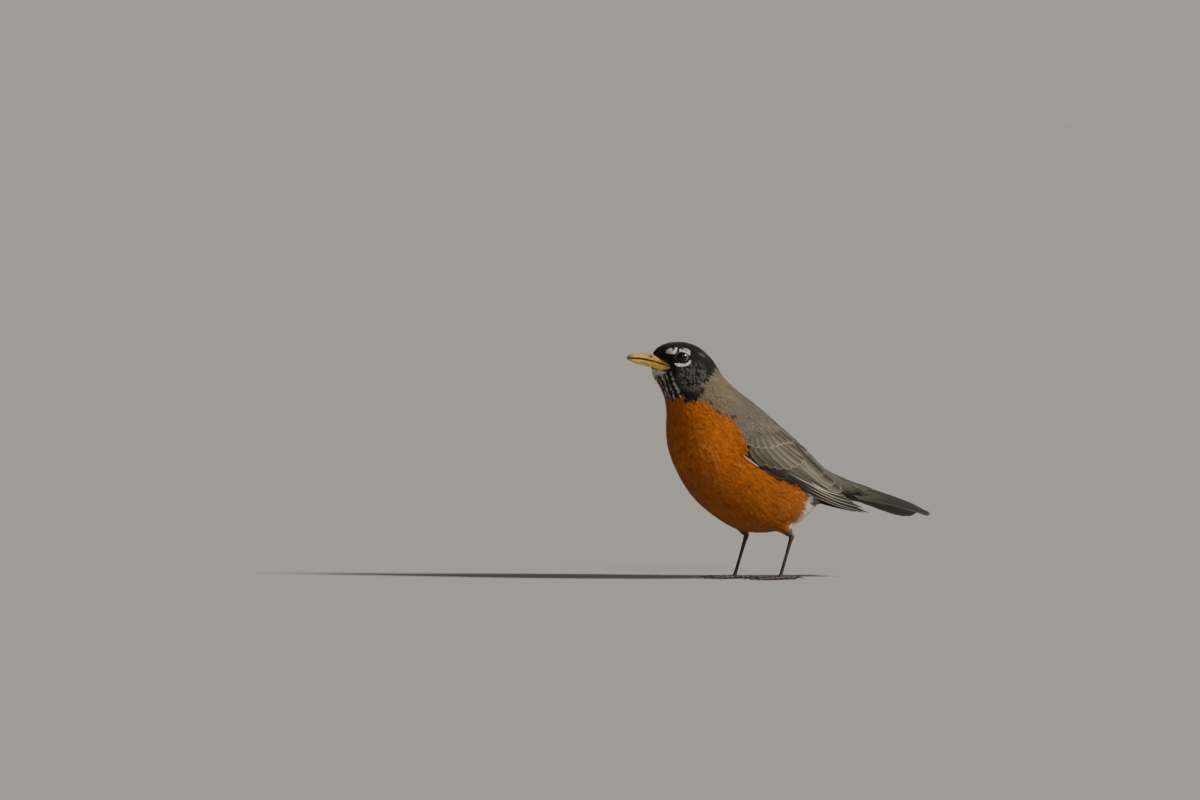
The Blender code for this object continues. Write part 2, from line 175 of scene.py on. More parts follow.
@dataclass
class BodyLines:
    """The slices that the plumage is laid out on, and the turn of the head.

    Args:
        ribs: Slices from bill to tail in the unturned body.
        turn: The head's turn about an upright axis, in radians.
        pivot_x: Where that axis stands.
        full_at: The rib where the turn is whole.
        none_at: The rib where the turn has gone.
        eye: Middle of the eyeball in the unturned head, on the side named.
        face: Where the face's narrowing is whole, and where it starts.
        narrow: The share of its width that the face keeps.
        jaw: Heights where the narrowing starts, and where it is whole.
        parting: How far from an eye's middle the plumage parts fully, and not at all.
    """

    ribs: tuple[Rib, ...] = (
        Rib("bill_base", (-95.3, 162.4), (-96.4, 153.8), 4.4),
        Rib("forehead", (-89.8, 168.0), (-93.6, 147.5), 8.0),
        Rib("brow", (-81.3, 171.2), (-90.0, 141.0), 12.2),
        Rib("crown", (-70.8, 171.2), (-86.6, 134.0), 14.8),
        Rib("hind_crown", (-60.2, 167.2), (-84.6, 127.0), 16.2),
        Rib("nape", (-50.6, 158.0), (-84.0, 119.5), 18.0),
        Rib("hind_neck", (-43.5, 146.5), (-83.9, 110.0), 22.0),
        Rib("upper_back", (-33.0, 136.5), (-82.4, 96.5), 27.5),
        Rib("mantle", (-16.5, 124.0), (-76.0, 79.0), 32.0),
        Rib("back", (2.0, 108.0), (-60.5, 56.0), 33.5),
        Rib("lower_back", (18.0, 92.5), (-33.0, 36.8), 31.0),
        Rib("rump", (29.0, 82.5), (-10.0, 33.8), 26.5),
        Rib("flank", (37.0, 77.4), (10.5, 39.2), 21.0),
        Rib("vent", (44.5, 74.0), (22.0, 52.0), 16.0),
        Rib("undertail", (53.0, 70.4), (40.0, 58.6), 11.5),
        Rib("tail_root", (62.0, 66.6), (58.5, 57.6), 8.0),
    )
    turn: float = math.radians(-13.0)
    pivot_x: float = -64.0
    full_at: int = 4
    none_at: int = 7
    eye: Triple = (-73.4, 9.4, 160.4)
    face: Point = (-91.0, -77.5)
    narrow: float = 0.6
    jaw: Point = (128.0, 144.0)
    parting: Point = (6.4, 9.0)

    def __post_init__(self) -> None:
        """Lays the ribs out as arrays."""
        self.back = np.array([rib.back for rib in self.ribs])
        self.belly = np.array([rib.belly for rib in self.ribs])
        self.width = np.array([rib.width for rib in self.ribs])
        self.last = len(self.ribs) - 1

    def behind(self, profile: Array, rib: int) -> Array:
        """How far behind a rib's line profile points lie.

        Args:
            profile: Points of the profile, (N, 2).
            rib: The rib's number.

        Returns:
            A distance in millimetres for each.
        """
        e = unit(self.belly[rib] - self.back[rib])
        d = profile - self.back[rib]
        return -e[1] * d[:, 0] + e[0] * d[:, 1]

    def turn_share(self, points: Array) -> Array:
        """The share of the head's turn at each point.

        Args:
            points: Points of the posed bird.

        Returns:
            A share for each, whole on the head.
        """
        profile = points[:, [0, 2]]
        full, none = self.behind(profile, self.full_at), self.behind(profile, self.none_at)
        t = np.clip(full / np.maximum(full - none, 1e-6), 0, 1)
        return 1 - t * t * (3 - 2 * t)

    def turned(self, points: Array, share: Array | float, vectors: bool = False) -> Array:
        """Turns points or vectors with the head.

        Args:
            points: Points or vectors, (..., 3).
            share: How much of the head's turn each takes.
            vectors: Whether they are vectors.

        Returns:
            The same, turned.
        """
        angle = self.turn * np.asarray(share)
        c, s = np.cos(angle), np.sin(angle)
        x = points[..., 0] - (0.0 if vectors else self.pivot_x)
        y = points[..., 1]
        out = np.array(points, float)
        out[..., 0] = (0.0 if vectors else self.pivot_x) + x * c - y * s
        out[..., 1] = x * s + y * c
        return out

    def straight(self, points: Array) -> Array:
        """Points of the posed bird brought back to the unturned body."""
        return self.turned(points, -self.turn_share(points))

    def locate(self, straight: Array) -> tuple[Array, Array, Array, Array]:
        """Finds points along and round the unturned body.

        Args:
            straight: Points of the unturned body, (N, 3).

        Returns:
            Place along the ribs, angle from the back in radians, rib number, and the lie as unit vectors.
        """
        profile = straight[:, [0, 2]]
        d = np.stack([self.behind(profile, i) for i in range(self.last + 1)], 1)
        rib = np.clip((d >= 0).sum(1) - 1, 0, self.last - 1)
        row = np.arange(len(profile))
        here, there = d[row, rib], d[row, rib + 1]
        share = np.clip(here / np.where(abs(here - there) < 1e-6, 1e-6, here - there), 0, 1)
        mix = share[:, None]
        back = self.back[rib] * (1 - mix) + self.back[rib + 1] * mix
        belly = self.belly[rib] * (1 - mix) + self.belly[rib + 1] * mix
        width = self.width[rib] * (1 - share) + self.width[rib + 1] * share
        across = belly - back
        down = np.clip(((profile - back) * across).sum(1) / (across * across).sum(1), 0, 1)
        angle = np.arctan2(np.abs(straight[:, 1]) / width, 1 - 2 * down)
        lie = (self.back[rib + 1] - self.back[rib]) * (1 - down[:, None])
        lie = lie + (self.belly[rib + 1] - self.belly[rib]) * down[:, None]
        spread = (self.width[rib + 1] - self.width[rib]) / width * straight[:, 1]
        flow = unit(np.stack([lie[:, 0], spread, lie[:, 1]], 1))
        return rib + share, angle, rib, flow

    def drawn_in(self, points: Array) -> Array:
        """Narrows the face from the eyes to the bill.

        Args:
            points: Points of the posed bird.

        Returns:
            The same points, drawn in.
        """
        share = self.turn_share(points)
        flat = self.turned(points, -share)
        face = (1 - smooth(flat[:, 0], *self.face)) * smooth(flat[:, 2], *self.jaw)
        flat[:, 1] *= 1 - (1 - self.narrow) * face
        return self.turned(flat, share)

    def eye_centre(self, side: Side) -> Array:
        """The middle of an eyeball in the posed bird."""
        return self.turned(np.array([self.eye[0], side.value * self.eye[1], self.eye[2]]), 1.0)

    def lie(self, points: Array) -> Array:
        """The direction in which feathers lie, parting round the eyes.

        Args:
            points: Points of the posed bird.

        Returns:
            A unit vector for each.
        """
        share = self.turn_share(points)
        flow = self.turned(self.locate(self.turned(points, -share))[3], share, vectors=True)
        for side in Side:
            off = points - self.eye_centre(side)
            reach = np.linalg.norm(off, axis=1)
            out = off / reach[:, None]
            inward = -(flow * out).sum(1)
            near = (1 - smooth(reach, *self.parting)) * (inward > 0)
            aside = np.cross(out, np.array((0.0, side.value, 0.0)))
            aside = aside * np.where((aside * flow).sum(1) < 0, -1.0, 1.0)[:, None]
            flow = unit(flow + (near * (inward + 0.1))[:, None] * out + (0.35 * near)[:, None] * aside)
        return flow


BODY = BodyLines()


# --- colours and markings


class Tone(Enum):
    """The plumage's colours, in linear light."""

    BLACK = (0.0085, 0.0080, 0.0085)
    SOOT = (0.038, 0.036, 0.037)
    ASH = (0.15, 0.14, 0.125)
    WHITE = (0.72, 0.70, 0.64)
    CHIN = (0.94, 0.87, 0.74)
    OLIVE = (0.215, 0.178, 0.108)
    GREY = (0.176, 0.156, 0.126)
    BUFF = (0.285, 0.240, 0.175)
    ORANGE = (0.52, 0.135, 0.004)
    RUST = (0.33, 0.072, 0.003)
    PEACH = (0.66, 0.30, 0.09)
    SLATE = (0.050, 0.043, 0.036)
    DOWN = (0.060, 0.055, 0.050)
    VANE = (0.105, 0.091, 0.070)
    VANE_EDGE = (0.205, 0.178, 0.138)
    DARK_VANE = (0.026, 0.023, 0.021)
    QUILL = (0.046, 0.040, 0.033)
    PALE_EDGE = (0.52, 0.46, 0.37)
    COVERT = (0.118, 0.100, 0.072)
    COVERT_DARK = (0.062, 0.052, 0.038)
    TAIL = (0.058, 0.050, 0.040)
    TAIL_DARK = (0.034, 0.030, 0.025)
    GAPE_SKIN = (0.16, 0.075, 0.040)
    BILL_YELLOW = (0.95, 0.61, 0.125)
    BILL_ORANGE = (0.98, 0.56, 0.110)
    BILL_HORN = (0.42, 0.29, 0.190)
    BILL_PINK = (0.66, 0.37, 0.25)
    # the dusky tip's colour; also the base of the painted shade in the nostril and along the mouth line
    BILL_DUSK = (0.13, 0.10, 0.085)
    CLAW = (0.022, 0.019, 0.017)
    CLAW_TIP = (0.055, 0.046, 0.038)
    IRIS = (0.022, 0.010, 0.005)
    PUPIL = (0.002, 0.002, 0.002)
    LID = (0.30, 0.255, 0.185)
    LID_DARK = (0.030, 0.026, 0.022)

    @property
    def rgb(self) -> Array:
        """The colour as an array."""
        return np.array(self.value)

    def over(self, points: Sequence[object]) -> Array:
        """The colour once for each point."""
        return np.tile(self.rgb, (len(points), 1))


@dataclass
class Coat:
    """What each feather of a group looks like: one row for each feather.

    Args:
        body: Colour of the web.
        rim: Colour of the loose edge.
        rim_strength: How much of the edge shows that colour.
        core: How dark the shaft's streak is.
        base: Colour of the downy root.
    """

    body: Array
    rim: Array
    rim_strength: Array
    core: Array
    base: Array

    def lay(self, share: Array, body: Array, rim: Array | None = None, strength: float | None = None) -> None:
        """Lays a marking over the coat.

        Args:
            share: How much of the marking each feather takes.
            body: Its colour on the web.
            rim: Its colour on the edge, or None to keep the edge's.
            strength: How much of the edge shows that colour, or None to keep it.
        """
        self.body = blend(self.body, body, share)
        if rim is not None:
            self.rim = blend(self.rim, rim, share)
        if strength is not None:
            self.rim_strength = self.rim_strength + (strength - self.rim_strength) * share

    def of(self, chosen: Array) -> "Coat":
        """The rows of some of the feathers."""
        rows = (self.body, self.rim, self.rim_strength, self.core, self.base)
        return Coat(*(row[chosen] for row in rows))


@dataclass
class Spots:
    """Places on the bird, with all that a marking asks of them.

    Args:
        points: The places on the posed bird.
        rng: Source of the small differences between feathers.
        ragged: How far the edges of patches wander, 0 for none.
    """

    points: Array
    rng: Rng
    ragged: float = 1.0

    def __post_init__(self) -> None:
        """Works out where each place is."""
        self.flat = BODY.straight(self.points)
        self.along, self.angle, _, _ = BODY.locate(self.flat)
        self.p = self.flat[:, [0, 2]]
        self.x, self.z = self.p.T
        self.wander = np.clip(self.rng.normal(0, 1.0, len(self.p)), -1.8, 1.8) * self.ragged
        self.fleck = self.rng.random(len(self.p))

    def spread(self, tone: Tone, swing: float) -> Array:
        """A tone that varies from feather to feather by a share."""
        return tone.rgb * (1 + swing * self.rng.normal(0, 1, (len(self.p), 1)))

    def past(self, line: Line, stray: float, soft: float = 0.7) -> Array:
        """The share of each place that is left of a line, with a ragged edge."""
        return smooth(beyond_line(self.p, line) + self.wander * stray, -soft, soft)


@dataclass(frozen=True)
class EyeArc:
    """A pale arc round the eye.

    Args:
        knots: Clock angle in degrees (0 ahead, 90 above, 180 behind), inner and outer radius.
    """

    knots: tuple[Triple, ...]

    def holds(self, clock: Array, radius: Array) -> Array:
        """Which places lie in the arc.

        Args:
            clock: Each place's angle round the eye.
            radius: Its distance from the eye's middle.

        Returns:
            Whether it lies in the arc.
        """
        angles, inner, outer = (np.array(column) for column in zip(*self.knots))
        within = (clock > angles[0]) & (clock < angles[-1])
        within = within & (radius > np.interp(clock, angles, inner))
        return within & (radius < np.interp(clock, angles, outer))


@dataclass
class Markings:
    """Where the plumage changes colour, drawn in the unturned body's profile.

    Each line is walked so that the plumage named first lies on its left hand.

    Args:
        eye: The eye's middle.
        hood_edge: The hood ahead, nape and breast behind.
        back_edge: The back above, breast below.
        vent_edge: The white vent behind, breast ahead.
        mottled: Where the breast's feathers have pale fringes.
        cheek: Where the hood's feathers have ashy edges.
        nape_spot: A paler spot on the hood.
        supraloral: The white patch before the eye.
        eye_arcs: The broken white ring.
        lanes: Turn of the throat's streaks for each millimetre sideways, in radians.
        fan: How far they spread for each millimetre down.
        chin_z: Where the chin meets the throat.
        knee_z: The thighs' top.
    """

    eye: Point = (-73.0, 160.4)
    hood_edge: Line = (
        (-98.0, 127.5), (-84.0, 128.5), (-76.0, 131.5), (-71.0, 128.0), (-64.5, 129.5), (-61.0, 135.0),
        (-58.5, 141.0), (-52.0, 148.5), (-44.0, 156.5), (-40.0, 164.0),
    )
    back_edge: Line = (
        (-70.0, 134.0), (-61.0, 128.5), (-55.0, 122.5), (-47.5, 119.0), (-43.0, 115.0), (-38.5, 109.0),
        (-36.5, 103.5), (-35.5, 97.0), (-12.0, 90.0), (8.0, 80.0), (22.0, 68.0), (40.0, 62.0),
    )
    vent_edge: Line = ((15.0, 66.0), (14.0, 58.0), (11.5, 50.0), (8.0, 43.5), (3.0, 37.0), (0.0, 30.0))
    mottled: Oval = Oval((-62.0, 87.0), (27.0, 8.5), -60.0)
    cheek: Oval = Oval((-66.0, 146.0), (11.5, 12.0), 20.0)
    nape_spot: Oval = Oval((-59.0, 162.0), (2.2, 2.0))
    supraloral: tuple[Oval, ...] = (
        Oval((-82.5, 165.1), (2.5, 1.3), 35.0),
        Oval((-81.4, 163.9), (2.7, 1.1), -5.0),
        Oval((-78.9, 165.1), (0.95, 2.5), -28.0),
    )
    eye_arcs: tuple[EyeArc, ...] = (
        EyeArc(
            ((52, 4.0, 4.6), (60, 4.0, 5.4), (79, 4.0, 6.3), (108, 4.0, 6.7))
            + ((136, 4.0, 6.6), (152, 4.4, 5.8), (160, 5.0, 5.3))
        ),
        EyeArc(
            ((198, 5.5, 6.0), (215, 5.0, 6.0), (240, 4.8, 6.1), (255, 4.7, 6.2))
            + ((272, 4.6, 6.3), (295, 4.6, 7.2), (312, 5.6, 7.7), (324, 7.0, 7.9))
        ),
    )
    lanes: float = 2.0
    fan: float = 0.22
    chin_z: float = 149.0
    knee_z: float = 35.8

    def thigh(self, flat: Array) -> Array:
        """Which points of the unturned bird are on the feathered thighs.

        Args:
            flat: Points of the unturned bird.

        Returns:
            Whether each is on a thigh.
        """
        on = np.zeros(len(flat), bool)
        for side, x in HEELS.items():
            on |= (np.abs(flat[:, 0] - x + 2.0) < 7.0) & (flat[:, 1] * side.value > 7.5)
        return on & (flat[:, 2] < self.knee_z)

    def back(self, at: Spots) -> Coat:
        """Starts the coats with the olive nape, grey back and darker rump.

        Args:
            at: The places.

        Returns:
            What the feathers there look like.
        """
        tone = blend(at.spread(Tone.OLIVE, 0.10), at.spread(Tone.GREY, 0.08), smooth(at.along, 6.2, 8.0))
        tone = blend(tone, at.spread(Tone.GREY, 0.08) * 0.58, smooth(at.along, 11.8, 13.6))
        scapular = smooth(at.x, -40, -25) * (1 - smooth(at.x, 8, 18)) * smooth(at.angle, 0.35, 0.7)
        return Coat(tone, tone * 1.45 + 0.02, 0.35 + 0.4 * scapular, 0.22 + 0.5 * scapular, tone)

    def breast(self, at: Spots, coat: Coat) -> Array:
        """Lays the orange breast, with painted shade that darkens it toward the belly, its paler fringes and
        the dark flecks along its upper edge.

        Args:
            at: The places.
            coat: What the feathers there look like so far.

        Returns:
            The share of each place that is breast.
        """
        patchy = np.sin(at.x * 0.31 + 2 * np.sin(at.z * 0.23)) * np.sin(at.z * 0.37 + at.angle * 4)
        rusty = 0.8 * smooth(patchy + at.wander * 0.3, 0.1, 1.5)
        orange = blend(at.spread(Tone.ORANGE, 0.10), at.spread(Tone.RUST, 0.10), rusty)
        # painted shade: the orange falls to 0.78 of its tone toward the belly, below z = 62
        orange = orange * (0.78 + 0.22 * smooth(at.z, 62, 92))[:, None]
        mottled = (1 - smooth(self.mottled.out(at.p), 0.5, 1.2)) * (at.fleck > 0.4)
        pale = 0.08 + 0.3 * (at.fleck > 0.7) + 0.8 * mottled
        orange = blend(orange, Tone.PEACH.rgb, 0.3 * mottled * (at.fleck > 0.78))
        share = 1 - at.past(self.back_edge, -0.6, 0.8)
        coat.lay(share, orange, blend(orange * 1.1, Tone.PEACH.rgb, pale), 0.75)
        coat.core = coat.core * (1 - share * 0.7)
        beside = np.abs(beyond_line(at.p, self.back_edge) - 0.3) < 1.8
        coat.lay(beside & (at.x < -41) & (at.x > -62) & (at.fleck < 0.22), Tone.SOOT.rgb)
        return share

    def rear(self, at: Spots, coat: Coat) -> None:
        """Lays the white vent, the dark undertail and the thighs.

        Args:
            at: The places.
            coat: What the feathers there look like so far.
        """
        vent = at.past(self.vent_edge, 0.9) * smooth(at.x, -2, 4)
        vent = vent * smooth(at.angle - 0.9 * smooth(at.x, 24, 32), 1.15, 1.45)
        coat.lay(vent, at.spread(Tone.WHITE, 0.05) * 0.9, Tone.WHITE.rgb)
        some = at.fleck < 0.3
        dark = smooth(at.x + 0.9 * (at.z - 52) + 0.5 * at.wander, 18.5, 21.5) * smooth(at.angle, 1.25, 1.55)
        coat.lay(dark, at.spread(Tone.SLATE, 0.1), blend(Tone.SLATE.rgb * 1.5, Tone.ASH.rgb, some))
        coat.lay(self.thigh(at.flat), at.spread(Tone.SLATE, 0.15), blend(Tone.GREY.rgb, Tone.WHITE.rgb, some))

    def hood(self, at: Spots, coat: Coat) -> Array:
        """Lays the black hood with its ashy cheeks and crown.

        Args:
            at: The places.
            coat: What the feathers there look like so far.

        Returns:
            The share of each place that is hood.
        """
        hood = at.past(self.hood_edge, 1.1)
        coat.lay(hood, at.spread(Tone.BLACK, 0.15), Tone.SOOT.rgb, 0.35)
        coat.core = coat.core * (1 - hood)
        cheek = hood * (1 - smooth(self.cheek.out(at.p), 0.75, 1.15)) * (at.fleck < 0.7)
        coat.rim = blend(coat.rim, 2.3 * Tone.ASH.rgb, cheek)
        coat.rim_strength = np.maximum(coat.rim_strength, cheek * 0.95)
        coat.rim = blend(coat.rim, Tone.ASH.rgb, hood * (at.z > 163) * (at.x < -66) * (at.fleck < 0.36))
        coat.lay(hood * (self.nape_spot.out(at.p) < 1), 0.6 * Tone.ASH.rgb)
        return hood

    def chin(self, at: Spots, coat: Coat, hood: Array) -> None:
        """Lays the pale chin.

        Args:
            at: The places.
            coat: What the feathers there look like so far.
            hood: The share of each place that is hood.
        """
        under = (at.x < -86) * (at.angle > 1.9)
        chin = smooth(at.z + 0.9 * (-at.x - 91.0).clip(0, 6), 145.0, self.chin_z) * under
        coat.lay(chin * (at.fleck < 0.9) * hood, at.spread(Tone.CHIN, 0.12), Tone.WHITE.rgb)

    def streaks(self, flat: Array) -> Array:
        """The white streaks that fan down the throat.

        Args:
            flat: Points of the unturned bird.

        Returns:
            How white each is, from 0 to 1.
        """
        x, y, z = flat[:, 0], np.abs(flat[:, 1]), flat[:, 2]
        _, angle, _, _ = BODY.locate(flat)
        lane = (y - self.fan * (self.chin_z - z)) * self.lanes + 0.5 * np.sin(z * 0.5 + y) + 0.4
        breaks = 0.25 * np.sin(z * 1.1 + 2.2 * np.sin(y * 1.7))
        streak = 0.85 * smooth(np.cos(lane) + breaks, 0.55, 0.95) * smooth(angle, 1.68, 1.9)
        streak = streak * smooth(z, 127.5, 132.0) * (1 - smooth(x, -76, -73))
        return streak * smooth(beyond_line(flat[:, [0, 2]], self.hood_edge), -0.5, 1.0)

    def eye_marks(self, profile: Array) -> Array:
        """The broken white ring and the patch before the eye.

        Args:
            profile: Profile points of the unturned bird.

        Returns:
            1 for each in a mark, else 0.
        """
        off = profile - np.array(self.eye)
        clock = np.degrees(np.arctan2(off[:, 1], -off[:, 0])) % 360
        radius = np.hypot(off[:, 0], off[:, 1])
        ring = np.any([arc.holds(clock, radius) for arc in self.eye_arcs], axis=0)
        patch = np.min([oval.out(profile) for oval in self.supraloral], axis=0) < 1
        return (ring | patch).astype(float)

    def fine_marks(self, points: Array) -> Array:
        """The marks that are finer than a feather.

        Args:
            points: Points of the posed bird.

        Returns:
            The share of each point in a mark.
        """
        share = np.zeros(len(points))
        near = (points[:, 0] < -60) & (points[:, 2] > 125)
        if near.any():
            flat = BODY.straight(points[near])
            share[near] = np.maximum(self.streaks(flat), self.eye_marks(flat[:, [0, 2]]))
        return share

    def colour(self, points: Array, rng: Rng, ragged: float = 1.0) -> Coat:
        """The look of feathers whose visible parts lie at points of the posed bird.

        Args:
            points: Places, (N, 3).
            rng: Source of the small differences between feathers.
            ragged: How far the edges of patches wander, 0 for none.

        Returns:
            One row of colours for each place.
        """
        at = Spots(points, rng, ragged)
        coat = self.back(at)
        orange = self.breast(at, coat)
        self.rear(at, coat)
        hood = self.hood(at, coat)
        self.chin(at, coat, hood)
        white = self.eye_marks(at.p)
        coat.lay(white, Tone.WHITE.rgb, Tone.WHITE.rgb)
        downy = blend(Tone.DOWN.rgb, coat.body * 0.35, np.full(len(points), 0.6))
        coat.base = blend(downy, coat.body * 0.7, orange * (1 - hood))
        coat.base = blend(coat.base, coat.body, white)
        coat.body, coat.rim = np.clip(coat.body, 0, 1), np.clip(coat.rim, 0, 1)
        return coat


MARKINGS = Markings()


# --- meshes from arrays


def to_world(points: Array) -> Array:
    """The bird's own millimetres to the model's metres."""
    return (points - np.array((ORIGIN_X, 0.0, 0.0))) * MM


def from_world(points: Array) -> Array:
    """The model's metres to the bird's own millimetres."""
    return points / MM + np.array((ORIGIN_X, 0.0, 0.0))


def set_tint(mesh: Mesh, colours: Array) -> None:
    """Paints a mesh's points, as its attribute tint."""
    rgba = np.concatenate([np.clip(colours, 0, 1), np.ones((len(colours), 1))], 1).astype(np.float32)
    mesh.attributes.new("tint", "FLOAT_COLOR", "POINT").data.foreach_set("color", rgba.ravel())


def places_of(mesh: Mesh) -> Array:
    """A mesh's points in the bird's own millimetres.

    Args:
        mesh: The mesh.

    Returns:
        Its points, (N, 3).
    """
    points = np.zeros(len(mesh.vertices) * 3, np.float32)
    mesh.vertices.foreach_get("co", points)
    return from_world(points.reshape(-1, 3).astype(float))


def placed(name: str, data: bpy.types.ID) -> Piece:
    """A new object in the scene.

    Args:
        name: Its name.
        data: What it shows.

    Returns:
        The object.
    """
    made = bpy.data.objects.new(name, data)
    bpy.context.scene.collection.objects.link(made)
    return made


def shade_smooth(mesh: Mesh) -> None:
    """Shades every face smooth."""
    mesh.polygons.foreach_set("use_smooth", np.ones(len(mesh.polygons), bool))


@dataclass
class Sheaf:
    """Feathers gathered for one piece, part by part."""

    parts: list[tuple[Array, ...]] = field(default_factory=list)
    count: int = 0

    def add(
        self, points: Array, triangles: Array, colours: Array, patches: Array, barbs: Array, normals: Array
    ) -> None:
        """Adds some feathers."""
        self.parts.append((points, triangles + self.count, colours, patches, barbs, normals))
        self.count += len(points)

    def build(self, name: str, material: Material) -> Piece:
        """Makes one mesh of everything gathered.

        Args:
            name: The piece's name.
            material: Its finish.

        Returns:
            The piece.
        """
        points, triangles, colours, patches, barbs, normals = map(np.concatenate, zip(*self.parts))
        mesh = bpy.data.meshes.new(name)
        mesh.vertices.add(len(points))
        mesh.vertices.foreach_set("co", to_world(points).astype(np.float32).ravel())
        mesh.loops.add(3 * len(triangles))
        mesh.loops.foreach_set("vertex_index", triangles.astype(np.int32).ravel())
        mesh.polygons.add(len(triangles))
        mesh.polygons.foreach_set("loop_start", np.arange(0, 3 * len(triangles), 3, dtype=np.int32))
        shade_smooth(mesh)
        mesh.update(calc_edges=True)
        set_tint(mesh, colours)
        mesh.attributes.new("barb", "FLOAT", "POINT").data.foreach_set("value", barbs.astype(np.float32))
        unwrap = mesh.uv_layers.new(name="OFBake")
        unwrap.data.foreach_set("uv", patches[triangles.ravel()].astype(np.float32).ravel())
        mesh.materials.append(material)
        mesh.normals_split_custom_set_from_vertices(normals.astype(np.float32))
        return placed(name, mesh)


def merged_copy(name: str, nodes: Iterable[str]) -> Piece:
    """A new piece of several CAD nodes' meshes, with their doubled points merged.

    Args:
        name: The piece's name.
        nodes: The nodes' names.

    Returns:
        The piece.
    """
    bm = bmesh.new()
    for node in nodes:
        bm.from_mesh(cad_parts[node].data)
    bmesh.ops.remove_doubles(bm, verts=bm.verts, dist=1e-6)
    mesh = bpy.data.meshes.new(name)
    bm.to_mesh(mesh)
    bm.free()
    return placed(name, mesh)


def apply_modifiers(piece: Piece) -> None:
    """Gives an object the mesh that its modifiers make, and removes them.

    Args:
        piece: The object.
    """
    graph = bpy.context.evaluated_depsgraph_get()
    mesh = bpy.data.meshes.new_from_object(piece.evaluated_get(graph))
    piece.modifiers.clear()
    piece.data = mesh


def remeshed(name: str, nodes: Iterable[str], voxel: float, relax: int) -> Piece:
    """Several CAD nodes joined into one closed surface, with the gaps between them healed."""
    return healed(merged_copy(name, nodes), voxel, relax)


def healed(made: Piece, voxel: float, relax: int) -> Piece:
    """Makes one closed surface of all the shapes in an object.

    Args:
        made: The object.
        voxel: Size of the remesh's voxels in millimetres.
        relax: Rounds of smoothing afterwards.

    Returns:
        The same object.
    """
    remesh = made.modifiers.new("remesh", "REMESH")
    remesh.mode, remesh.voxel_size = "VOXEL", voxel * MM
    soften = made.modifiers.new("soften", "SMOOTH")
    soften.factor, soften.iterations = 0.5, relax
    apply_modifiers(made)
    return made


@dataclass
class Surface:
    """A closed surface to lay feathers on, in the bird's own millimetres."""

    tree: BVHTree
    points: Array
    triangles: Array

    @classmethod
    def of(cls, piece: Piece) -> "Surface":
        """Takes a piece's surface, with the face drawn in.

        Args:
            piece: The piece.

        Returns:
            Its surface.
        """
        mesh = piece.data
        mesh.calc_loop_triangles()
        points = BODY.drawn_in(places_of(mesh))
        triangles = np.zeros(len(mesh.loop_triangles) * 3, np.int32)
        mesh.loop_triangles.foreach_get("vertices", triangles)
        triangles = triangles.reshape(-1, 3)
        tree = BVHTree.FromPolygons(points.tolist(), triangles.tolist(), all_triangles=True)
        return cls(tree, points, triangles)

    def nearest(self, points: Array) -> tuple[Array, Array]:
        """Finds the nearest places on the surface.

        Args:
            points: Places to start from, (N, 3).

        Returns:
            The nearest places and the normals there.
        """
        places, normals = np.empty_like(points), np.empty_like(points)
        find = self.tree.find_nearest
        for i, point in enumerate(points.tolist()):
            place, normal, _, _ = find(point)
            places[i], normals[i] = place, normal
        return places, normals

    def scatter(self, count: int, rng: Rng) -> Array:
        """Spreads random points evenly over the surface.

        Args:
            count: How many.
            rng: Source of the places.

        Returns:
            The points.
        """
        corners = self.points[self.triangles]
        area = np.linalg.norm(np.cross(corners[:, 1] - corners[:, 0], corners[:, 2] - corners[:, 0]), axis=1)
        chosen = rng.choice(len(area), count, p=area / area.sum())
        a, b = rng.random((2, count))
        a, b = np.where(a + b > 1, 1 - a, a), np.where(a + b > 1, 1 - b, b)
        c = corners[chosen]
        return c[:, 0] + (c[:, 1] - c[:, 0]) * a[:, None] + (c[:, 2] - c[:, 0]) * b[:, None]


def thin_out(points: Array, spacing: Array) -> Array:
    """Keeps points that are at least their own spacing from every point kept before.

    Args:
        points: Candidate places, (N, 3).
        spacing: The distance to keep at each.

    Returns:
        The numbers of the points kept.
    """
    cell = float(spacing.max())
    grid: dict[tuple[int, int, int], list[int]] = {}
    keep: list[int] = []
    places, gaps = points.tolist(), (spacing**2).tolist()
    cells = np.floor(points / cell).astype(int).tolist()
    reach = [(i, j, k) for i in (-1, 0, 1) for j in (-1, 0, 1) for k in (-1, 0, 1)]
    for number, ((x, y, z), gap, (i, j, k)) in enumerate(zip(places, gaps, cells)):
        clear = True
        for di, dj, dk in reach:
            for other in grid.get((i + di, j + dj, k + dk), ()):
                ox, oy, oz = places[other]
                if (x - ox) ** 2 + (y - oy) ** 2 + (z - oz) ** 2 < gap:
                    clear = False
                    break
            if not clear:
                break
        if clear:
            keep.append(number)
            grid.setdefault((i, j, k), []).append(number)
    return np.array(keep)


# --- contour feathers


